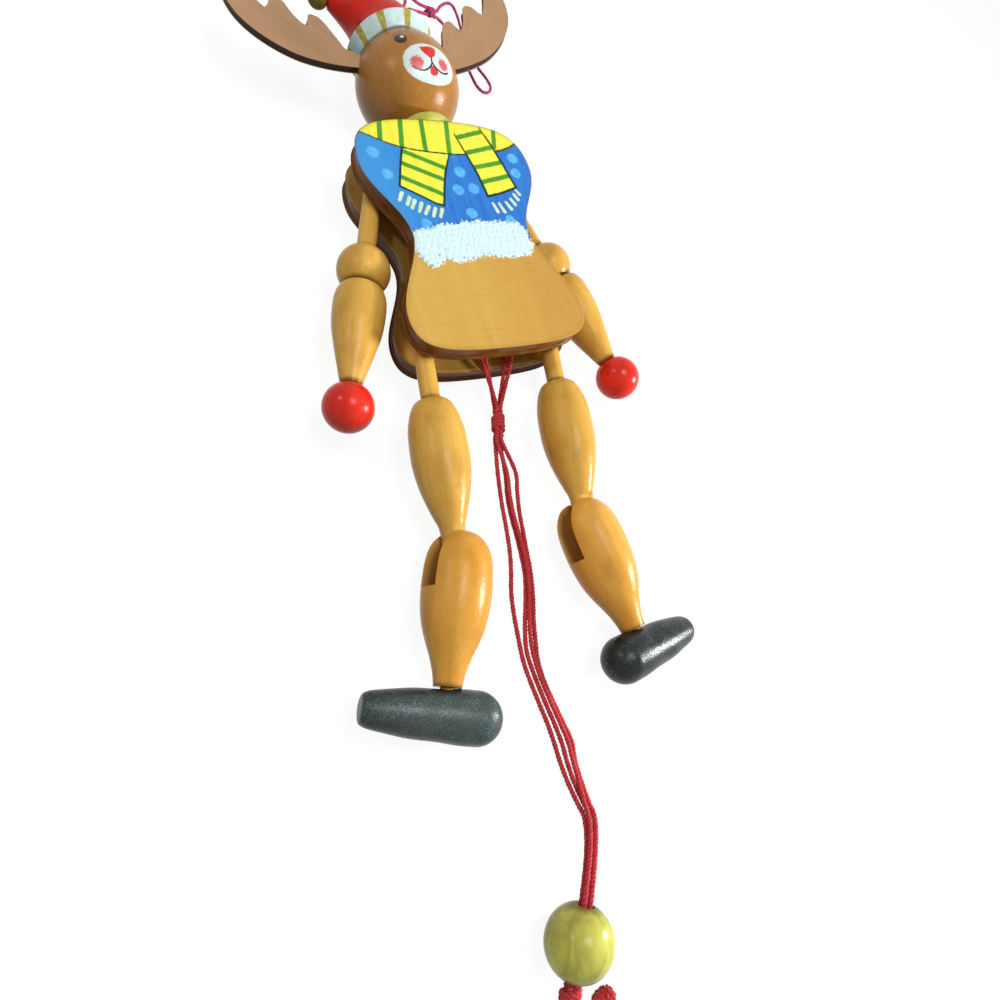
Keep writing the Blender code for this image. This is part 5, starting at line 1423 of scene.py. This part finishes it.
def knot_directions(axis):
    """A knot's own directions: along its axis, to the side and upward."""
    along = np.asarray(axis, float) / np.linalg.norm(axis)
    side = -np.cross(along, [0, 0, 1.0])
    side = side / np.linalg.norm(side)
    return along, side, np.cross(along, side)


def ports(centre, axis, reach, space=STRAND_SPACE):
    """Four places on a square across the axis, where four strands pass."""
    along, side, up = knot_directions(axis)
    return [np.asarray(centre) + along * reach + (side * a + up * b) * space
            for a in (-1, 1) for b in (-1, 1)]


def cord_surface(path, diameter, seed):
    """A twisted cord along points: rings square to it, carried on without a twist."""
    path = np.asarray(path, float)
    slope = np.gradient(path, axis=0)
    slope /= np.linalg.norm(slope, axis=1)[:, None]
    across = np.cross(slope[0], [0.3, 0.2, 0.93])
    sides = []
    for t in slope:
        across = across - t * across.dot(t)
        across = across / np.linalg.norm(across)
        sides.append(across)
    sides = np.stack(sides)
    ups = np.cross(slope, sides)
    along = np.concatenate([[0], np.cumsum(np.linalg.norm(np.diff(path, axis=0), axis=1))])
    u = np.linspace(0, 2 * pi, CORD_AROUND, endpoint=False)
    turn = 2 * pi * along[:, None] / LAY_LENGTH + seed
    ply = np.abs(np.cos(PLIES / 2 * (u[None, :] - turn)))
    loose = 1 + 0.05 * np.sin(along * 1.7 + seed)[:, None]
    r = diameter / 2 * (PLY_FLOOR + PLY_LOBE * ply) * loose
    rings = path[:, None] + r[..., None] * (np.cos(u)[None, :, None] * sides[:, None]
                                            + np.sin(u)[None, :, None] * ups[:, None])
    twine = np.stack([np.broadcast_to(along[:, None], ply.shape) + 50 * seed,
                      diameter / 2 * np.cos(u[None, :] - turn),
                      diameter / 2 * np.sin(u[None, :] - turn)], -1)
    return with_poles(rings), tube_faces(*rings.shape[:2]), {
        "ply": np.concatenate([ply.ravel(), [0.5, 0.5]]),
        "twine_mm": np.concatenate([twine.reshape(-1, 3), twine[[0, -1], 0]])}


def joined(surfaces):
    """Several surfaces as one: points and values end to end, faces renumbered."""
    points, faces, values = [], [], {}
    for p, f, v in surfaces:
        start = sum(len(q) for q in points)
        if signed_volume(p, f) < 0:
            f = [corner[::-1] for corner in f]
        points.append(p)
        faces += [[n + start for n in corner] for corner in f]
        for key, array in v.items():
            values.setdefault(key, []).append(array)
    return np.concatenate(points), faces, {k: np.concatenate(v) for k, v in values.items()}


def make_twine(name, deep, middle, light):
    """Spun cotton: painted shade between the plies, fine fibres along them and a soft sheen."""
    material, shader = new_material(name, middle, Roughness=0.85, Sheen_Weight=0.25,
                                    Sheen_Roughness=0.4)
    twine = read_value(material, "twine_mm", "Vector")
    fibres = noise(material, scaled_place(material, twine, (0.35, 2.2, 2.2)), 0.35, 3.0, 0.6)
    cloud = noise(material, scaled_place(material, twine, (1.0, 0.2, 0.2)), 4.0, 2.0)
    # Darker where the plies meet: painted shade in the grooves between them.
    base = mixed(material, remap(material, read_value(material, "ply"), 0.25, 0.85), deep, middle)
    base = mixed(material, remap(material, fibres, 0.5, 0.75, 0.0, 0.75), base, light)
    base = mixed(material, remap(material, cloud, 0.5, 0.75, 0.0, 0.3), base, deep)
    link(material, base, shader.inputs["Base Color"])
    raise_by(material, shader, fibres, 0.06)
    return material


crimson = make_twine("crimson_twine", "#94181F", "#DC2834", "#F67C78")
pink = make_twine("dark_pink_twine", "#861844", "#BE3266", "#E07CA0")


def add_cord(name, route, diameter, material, body, seed):
    """A cord along its route on the surface, and the points that it follows."""
    path = smooth(route, CORD_STEP)
    points, faces, values = cord_surface(path, diameter, seed)
    piece = add_piece(f"{name}_twine", on_ground(points), faces, material, body, [name],
                      values)
    return piece, on_ground(path)


def knot_surface(centre, axis, length, radius, cord_diameter, turns, strands, seed):
    """Straight strands through a knot, and a cord wound round them, its turns slanted.

    The strands nearly reach the cords that they carry on.
    """
    along, side, up = knot_directions(axis)
    half = length / 2
    out = half + STRAND_REACH * GAP
    surfaces = []
    for n, (a, b) in enumerate(strands):
        line = np.stack([np.asarray(centre) + along * s + side * a + up * b
                         for s in np.linspace(-out, out, max(6, round(length / 0.3)))])
        surfaces.append(cord_surface(line, cord_diameter, seed + n))
    w = np.linspace(0, 2 * pi * turns, round(turns * 34))
    wind = radius - cord_diameter / 2
    reach = half - cord_diameter * 0.5
    shift = (w / w[-1] * 2 - 1) * reach * 0.8 + KNOT_SLANT * wind * np.sin(w + seed)
    shift = np.clip(shift, -reach, reach)
    swell = wind * (1 - 0.12 * (shift / half) ** 2 + 0.04 * np.sin(2.3 * w))
    coil = (np.asarray(centre) + along * shift[:, None] + side * (swell * np.cos(w))[:, None]
            + up * (swell * np.sin(w))[:, None])
    surfaces.append(cord_surface(resampled(coil, CORD_STEP), cord_diameter, seed + 9))
    return joined(surfaces)


def add_knot(name, centre, axis, length, radius, cord_diameter, turns, material, body, slot,
             seed, space=STRAND_SPACE):
    """A knot at its place, wound round the four strands that pass through it."""
    strands = [(a * space * 0.8, b * space * 0.8) for a in (-1, 1) for b in (-1, 1)]
    points, faces, values = knot_surface(centre, axis, length, radius, cord_diameter, turns,
                                         strands, seed)
    return add_piece(f"{name}_wound", on_ground(points), faces, material, body, [name],
                     values)


# %% Where the cords run, in millimetres on the surface
GAP, STRAND_REACH = 0.3, 0.85
KNOT_SLANT = 0.35
BEAD_RADIUS = 9.0
BEAD_CENTRE = (-35.7, -206.1, 9.0)
BEAD_AXIS = (0.48, 0.85, 0.20)
BEAD_HOLE = 2.4
RISE = ((-23.2, -189.9, 6.6), (0.62, 0.64, -0.40))
GATHER = ((-2.9, -63.3, 3.7), (-0.25, -0.95, -0.17), 7.0, 2.3)
BEAD_KNOT = (5.0, 2.8)
END_KNOT = ((-32.1, -223.4, 2.9), (0.95, 0.30, 0.0), 6.5, 2.7)
HANGER_KNOT = ((31.1, 116.2, 8.0), (0.80, 0.35, -0.35), 4.5, 1.9)
LEVER_ROUTES = {
    "arm_cord_left": [(-16.1, 30.8, 16.6), (-14.4, 29.0, 16.5), (-13.0, 22.5, 16.0),
                      (-10.8, 8.0, 14.8), (-8.3, -8.0, 13.1), (-5.6, -24.0, 11.3),
                      (-3.6, -36.0, 10.1), (-2.8, -45.0, 9.4)],
    "leg_cord_left": [(-18.4, -18.1, 14.3), (-16.5, -19.0, 14.0), (-14.0, -22.8, 13.3),
                      (-9.5, -31.0, 12.1), (-5.8, -39.0, 11.3), (-4.4, -46.0, 10.3)],
    "arm_cord_right": [(16.1, 31.0, 16.6), (14.6, 29.0, 16.5), (13.6, 22.5, 16.0),
                       (12.2, 8.0, 14.8), (10.4, -8.0, 13.1), (7.8, -24.0, 11.3),
                       (5.6, -36.0, 10.1), (3.4, -46.0, 9.3)],
    "leg_cord_right": [(20.5, -19.5, 14.3), (18.8, -20.0, 14.0), (16.0, -23.5, 13.3),
                       (12.0, -31.0, 12.3), (8.2, -39.0, 11.5), (5.0, -46.5, 10.5)]}
STRAND_ROUTES = {
    "pull_strand_1": [(-7.6, -78.5, 0.9), (-9.9, -88.5, 0.8), (-11.4, -96.8, 0.8),
                      (-13.1, -104.8, 0.8), (-15.0, -110.9, 0.8), (-17.2, -116.7, 0.8),
                      (-18.7, -122.6, 0.8), (-20.0, -130.1, 0.8), (-21.0, -137.2, 0.8),
                      (-21.0, -143.3, 0.8), (-20.6, -150.3, 0.8), (-20.2, -156.3, 0.8),
                      (-20.2, -161.7, 0.8), (-20.4, -167.1, 0.8), (-20.2, -173.0, 0.8),
                      (-19.6, -178.5, 0.9), (-19.4, -183.6, 1.6)],
    "pull_strand_2": [(-5.4, -80.0, 2.5), (-7.2, -87.4, 2.5), (-8.3, -94.1, 2.5),
                      (-8.8, -100.8, 2.5), (-9.4, -107.3, 2.5), (-10.6, -113.6, 2.4),
                      (-13.0, -120.9, 2.3), (-15.7, -127.9, 2.2), (-17.6, -134.9, 2.2),
                      (-18.1, -142.4, 2.2), (-17.6, -151.0, 2.3), (-17.0, -157.0, 2.3),
                      (-16.6, -162.7, 2.3), (-17.2, -168.2, 2.4), (-17.7, -173.8, 2.5),
                      (-18.3, -179.0, 2.7), (-19.0, -183.8, 3.4)],
    "pull_strand_3": [(-5.2, -80.0, 0.8), (-7.3, -87.4, 0.8), (-8.4, -94.1, 0.8),
                      (-9.0, -100.8, 0.8), (-9.8, -107.3, 0.8), (-11.0, -113.6, 0.8),
                      (-13.7, -120.9, 0.8), (-16.7, -127.9, 0.8), (-18.9, -134.9, 0.8),
                      (-19.1, -142.4, 0.8), (-18.6, -151.0, 0.8), (-18.1, -157.0, 0.8),
                      (-17.9, -162.7, 0.8), (-18.3, -168.2, 0.8), (-18.3, -173.8, 0.8),
                      (-17.8, -179.0, 0.9), (-17.6, -184.0, 1.6)],
    "pull_strand_4": [(-1.4, -79.7, 1.0), (-3.2, -86.5, 0.8), (-5.0, -93.1, 0.8),
                      (-6.2, -99.7, 0.8), (-7.4, -106.2, 0.8), (-8.6, -112.7, 0.8),
                      (-10.7, -120.2, 0.8), (-13.3, -127.3, 0.8), (-15.0, -133.2, 0.8),
                      (-16.4, -138.6, 0.8), (-16.7, -144.7, 0.8), (-16.0, -151.8, 0.8),
                      (-15.3, -157.7, 0.8), (-14.7, -163.2, 0.8), (-15.8, -168.8, 0.9),
                      (-16.3, -174.3, 1.3), (-16.7, -179.3, 2.2), (-17.2, -184.2, 3.4)]}
TAIL_ROUTES = {"tail_cord_1": [(-43.8, -222.5, 1.6), (-42.5, -225.5, 0.9)],
               "tail_cord_2": [(-41.7, -222.2, 1.6), (-40.6, -223.8, 1.0)]}
HANGER_CORD_ROUTE = [(23.6, 113.9, 12.3), (19.0, 110.3, 16.1), (13.8, 104.8, 19.6),
                     (11.1, 99.3, 21.5), (9.6, 96.8, 21.75), (8.7, 95.7, 21.2), (8.3, 95.3, 19.75),
                     (8.7, 95.7, 18.3), (9.6, 96.8, 17.75), (11.7, 99.6, 17.6),
                     (15.8, 104.8, 15.6), (20.2, 109.2, 12.4)]
HANGER_LOOP_ROUTE = [(38.5, 123.0, 6.2), (43.0, 126.8, 5.4), (46.2, 127.0, 4.6),
                     (47.5, 122.5, 3.4), (47.8, 117.0, 2.0), (48.0, 111.0, 1.1),
                     (48.5, 104.0, 0.8), (49.6, 97.5, 0.8), (51.4, 92.5, 0.8), (51.8, 88.0, 0.8),
                     (50.0, 85.0, 0.8), (47.2, 84.5, 0.8), (45.2, 87.5, 0.8), (44.6, 92.5, 0.8),
                     (44.3, 98.5, 0.8), (43.5, 104.0, 1.1), (42.3, 109.4, 2.0),
                     (39.6, 114.6, 3.5)]

# %% Pull cords, knots and bead


def knot_ends(centre, axis, length, end, space=STRAND_SPACE):
    """Where cords meet a knot's flat end, and where they are still square to it."""
    return (ports(centre, axis, end * (length / 2 + GAP), space),
            ports(centre, axis, end * (length / 2 + GAP + 2 * CORD), space))


def make_bead():
    """A ball with a hole through it: out over the ball, in along the hole."""
    along, side, up = knot_directions(BEAD_AXIS)
    reach = sqrt(BEAD_RADIUS ** 2 - BEAD_HOLE ** 2)
    outer = ball_arc(0, BEAD_RADIUS, -reach + 0.3, reach - 0.3, 110)
    lip = [(reach - 0.12, BEAD_HOLE + 0.12), (reach - 0.5, BEAD_HOLE)]
    hole = np.column_stack([np.linspace(reach - 1.2, -reach + 1.2, 12), np.full(12, BEAD_HOLE)])
    profile = np.concatenate([outer, lip, hole, np.array(lip)[::-1] * [-1, 1]])
    rings = spun(profile, 160)
    local = rings.reshape(-1, 3)
    world = np.array(BEAD_CENTRE) + (local[:, :1] * side + local[:, 1:2] * -along
                                     + local[:, 2:] * up)
    pooled_and_shade = 0.8 * np.exp(-((np.abs(local[:, 1]) - reach) / 0.8) ** 2)
    return add_piece("pull_bead_ball", on_ground(world), wrap_faces(*rings.shape[:2]),
                     bead_paint, "pull", ["pull_bead"],
                     {"own_mm": local, "pooled_and_shade": pooled_and_shade}, sharp=50)


top, above = knot_ends(*GATHER[:3], -1)
foot, below = knot_ends(*GATHER[:3], 1)
gather_knot = add_knot("gather_knot", *GATHER, CORD, 4.2, crimson, "pull", "crimson_thread", 3)
for seed, (name, port) in enumerate([("arm_cord_left", 0), ("leg_cord_left", 1),
                                     ("arm_cord_right", 2), ("leg_cord_right", 3)]):
    add_cord(name, [*LEVER_ROUTES[name], above[port], top[port]], CORD, crimson,
                          "pull", seed + 1)
bead = make_bead()
bead_knot_centre = np.array(BEAD_CENTRE) - knot_directions(BEAD_AXIS)[0] * (
    BEAD_RADIUS + GAP + BEAD_KNOT[0] / 2)
bead_knot = add_knot("bead_knot", bead_knot_centre, BEAD_AXIS, *BEAD_KNOT, CORD, 2.8, crimson,
                     "pull", "crimson_thread", 5)
end_knot = add_knot("end_knot", *END_KNOT, CORD, 3.6, crimson, "pull", "crimson_thread", 7)
inside, _ = knot_ends(bead_knot_centre, BEAD_AXIS, BEAD_KNOT[0], 1)
stations = [ports(*RISE, 0.0)] + [ports(BEAD_CENTRE, BEAD_AXIS, share * BEAD_RADIUS)
                                  for share in (1.25, 0.9, 0.3, -0.3)]
for seed, (name, port, far) in enumerate([("pull_strand_1", 0, 2), ("pull_strand_2", 1, 3),
                                          ("pull_strand_3", 2, 0), ("pull_strand_4", 3, 1)]):
    route = [foot[port], below[port], *STRAND_ROUTES[name], *[s[far] for s in stations],
             inside[far]]
    add_cord(name, route, CORD, crimson, "pull", seed + 11)
leave, after = knot_ends(bead_knot_centre, BEAD_AXIS, BEAD_KNOT[0], -1)
arrive, before = knot_ends(*END_KNOT[:3], -1)
tails = [add_cord(name, [leave[a], after[a], *TAIL_ROUTES[name], before[b], arrive[b]], CORD,
                  crimson, "pull", a + 21)[0]
         for name, a, b in (("tail_cord_1", 2, 0), ("tail_cord_2", 0, 2))]

# %% [markdown]
# The hanging cord is the same twine, thinner and dark pink. It goes up from its knot,
# through the eye in the hat and back, and a loop to hang the toy by leaves the knot's far
# end. Each is one cord that starts and ends at the knot.

# %% Hanging cord
hanger_space = (HANGER_CORD + 2 * GAP) / 2
hanger_knot = add_knot("hanger_knot", *HANGER_KNOT, HANGER_CORD, 2.6, pink, "torso",
                       "pink_thread", 9, hanger_space * 0.8)
for name, route, end, seed in (("hanger_cord", HANGER_CORD_ROUTE, -1, 31),
                               ("hanger_loop", HANGER_LOOP_ROUTE, 1, 33)):
    near, away = knot_ends(*HANGER_KNOT[:3], end, hanger_space)
    piece, path = add_cord(name, [near[3], away[3], *route, away[0], near[0]], HANGER_CORD, pink,
                           "torso", seed)

# %% [markdown]
# A few solids inside the body are kept as they are packed: the neck block, the dowels and
# the spacer of bare birch, and the steel pins. They only need their materials.

# %% Materials of the inner solids
INNER = {name: raw_wood for name in ("neck_block", "waist_spacer", "neck_dowel", "hat_dowel")}
INNER.update({f"{joint}_pin_{side}": steel for joint in ("shoulder", "hip", "knee")
              for side in SIGN})
for name, material in INNER.items():
    bpy.data.objects[name].data.materials.clear()
    bpy.data.objects[name].data.materials.append(material)
print("inner solids dressed:", len(INNER))

# %% [markdown]
# The toy was photographed on white with soft light from the right and above, so its left
# flanks are dark and its highlights lie on the upper right. The floor looks white to the
# camera and in reflections and keeps a light shadow under the toy. As a light on the toy
# it counts only as a grey floor. The world behind it works the same way.

# %% Floor and light
FLOOR_SIZE = 1.2
FLOOR_SHADED = 0.12
FLOOR_GLOW = 0.92
FLOOR_UNSEEN = 0.3
WORLD_TONE = (0.93, 0.96, 1.0, 1)
WORLD_LIGHT = 0.24
WHITE = (1, 1, 1, 1)
LAMP_AIM = (0.01, 0.0, 0.0)
LAMPS = [("side", (0.52, -0.26, 0.19), 0.09, 3.4), ("top", (0.06, -0.04, 0.64), 0.22, 1.9),
         ("upper_left", (-0.40, 0.25, 0.46), 0.05, 0.5)]


def bare_output(owner, kind):
    """Empties the nodes of a material or world and gives its new output's socket."""
    owner.use_nodes = True
    owner.node_tree.nodes.clear()
    return add_node(owner, kind).inputs[0]


def sees_white(owner):
    """1 for camera, glossy and transmission rays, 0 for the rays that light the toy."""
    path = add_node(owner, "LightPath")
    seen = [path.outputs[f"Is {kind} Ray"] for kind in ("Camera", "Glossy", "Transmission")]
    return sums(owner, "MAXIMUM", sums(owner, "MAXIMUM", seen[0], seen[1]), seen[2])


def make_floor():
    """A wide floor: where it is seen it is mostly white light with a share of shading."""
    size = FLOOR_SIZE
    mesh = bpy.data.meshes.new("floor")
    mesh.from_pydata([(-size, -size, 0), (size, -size, 0), (size, size, 0), (-size, size, 0)],
                     [], [(0, 1, 2, 3)])
    floor = bpy.data.objects.new("floor", mesh)
    scene.collection.objects.link(floor)
    material = bpy.data.materials.new("white_floor")
    out = bare_output(material, "OutputMaterial")
    shaded = add_node(material, "BsdfDiffuse", Color=(FLOOR_SHADED,) * 3 + (1,))
    glow = add_node(material, "Emission", Color=WHITE, Strength=FLOOR_GLOW)
    both = add_node(material, "AddShader", n0=shaded.outputs[0], n1=glow.outputs[0])
    unseen = add_node(material, "BsdfDiffuse", Color=(FLOOR_UNSEEN,) * 3 + (1,))
    pick = add_node(material, "MixShader", n0=sees_white(material), n1=unseen.outputs[0],
                    n2=both.outputs[0])
    link(material, pick.outputs[0], out)
    mesh.materials.append(material)


def make_world():
    """White behind everything where it is seen; softer and a little cool as light."""
    world = bpy.data.worlds.new("studio")
    scene.world = world
    out = bare_output(world, "OutputWorld")
    light = add_node(world, "Background", Color=WORLD_TONE, Strength=WORLD_LIGHT)
    white = add_node(world, "Background", Color=WHITE, Strength=1.0)
    pick = add_node(world, "MixShader", n0=sees_white(world), n1=light.outputs[0],
                    n2=white.outputs[0])
    link(world, pick.outputs[0], out)


def make_lamp(name, place, size, watts):
    """A square soft light at a place in metres, facing the toy."""
    data = bpy.data.lights.new(name, "AREA")
    data.size = size
    data.energy = watts
    lamp = bpy.data.objects.new(name, data)
    away = (Vector(place) - Vector(LAMP_AIM)).normalized()
    turn = away.to_track_quat("Z", "Y").to_matrix().to_4x4()
    lamp.matrix_world = Matrix.Translation(place) @ turn
    scene.collection.objects.link(lamp)


make_floor()
make_world()
for lamp in LAMPS:
    make_lamp(*lamp)
print("lamps:", [name for name, *_ in LAMPS])
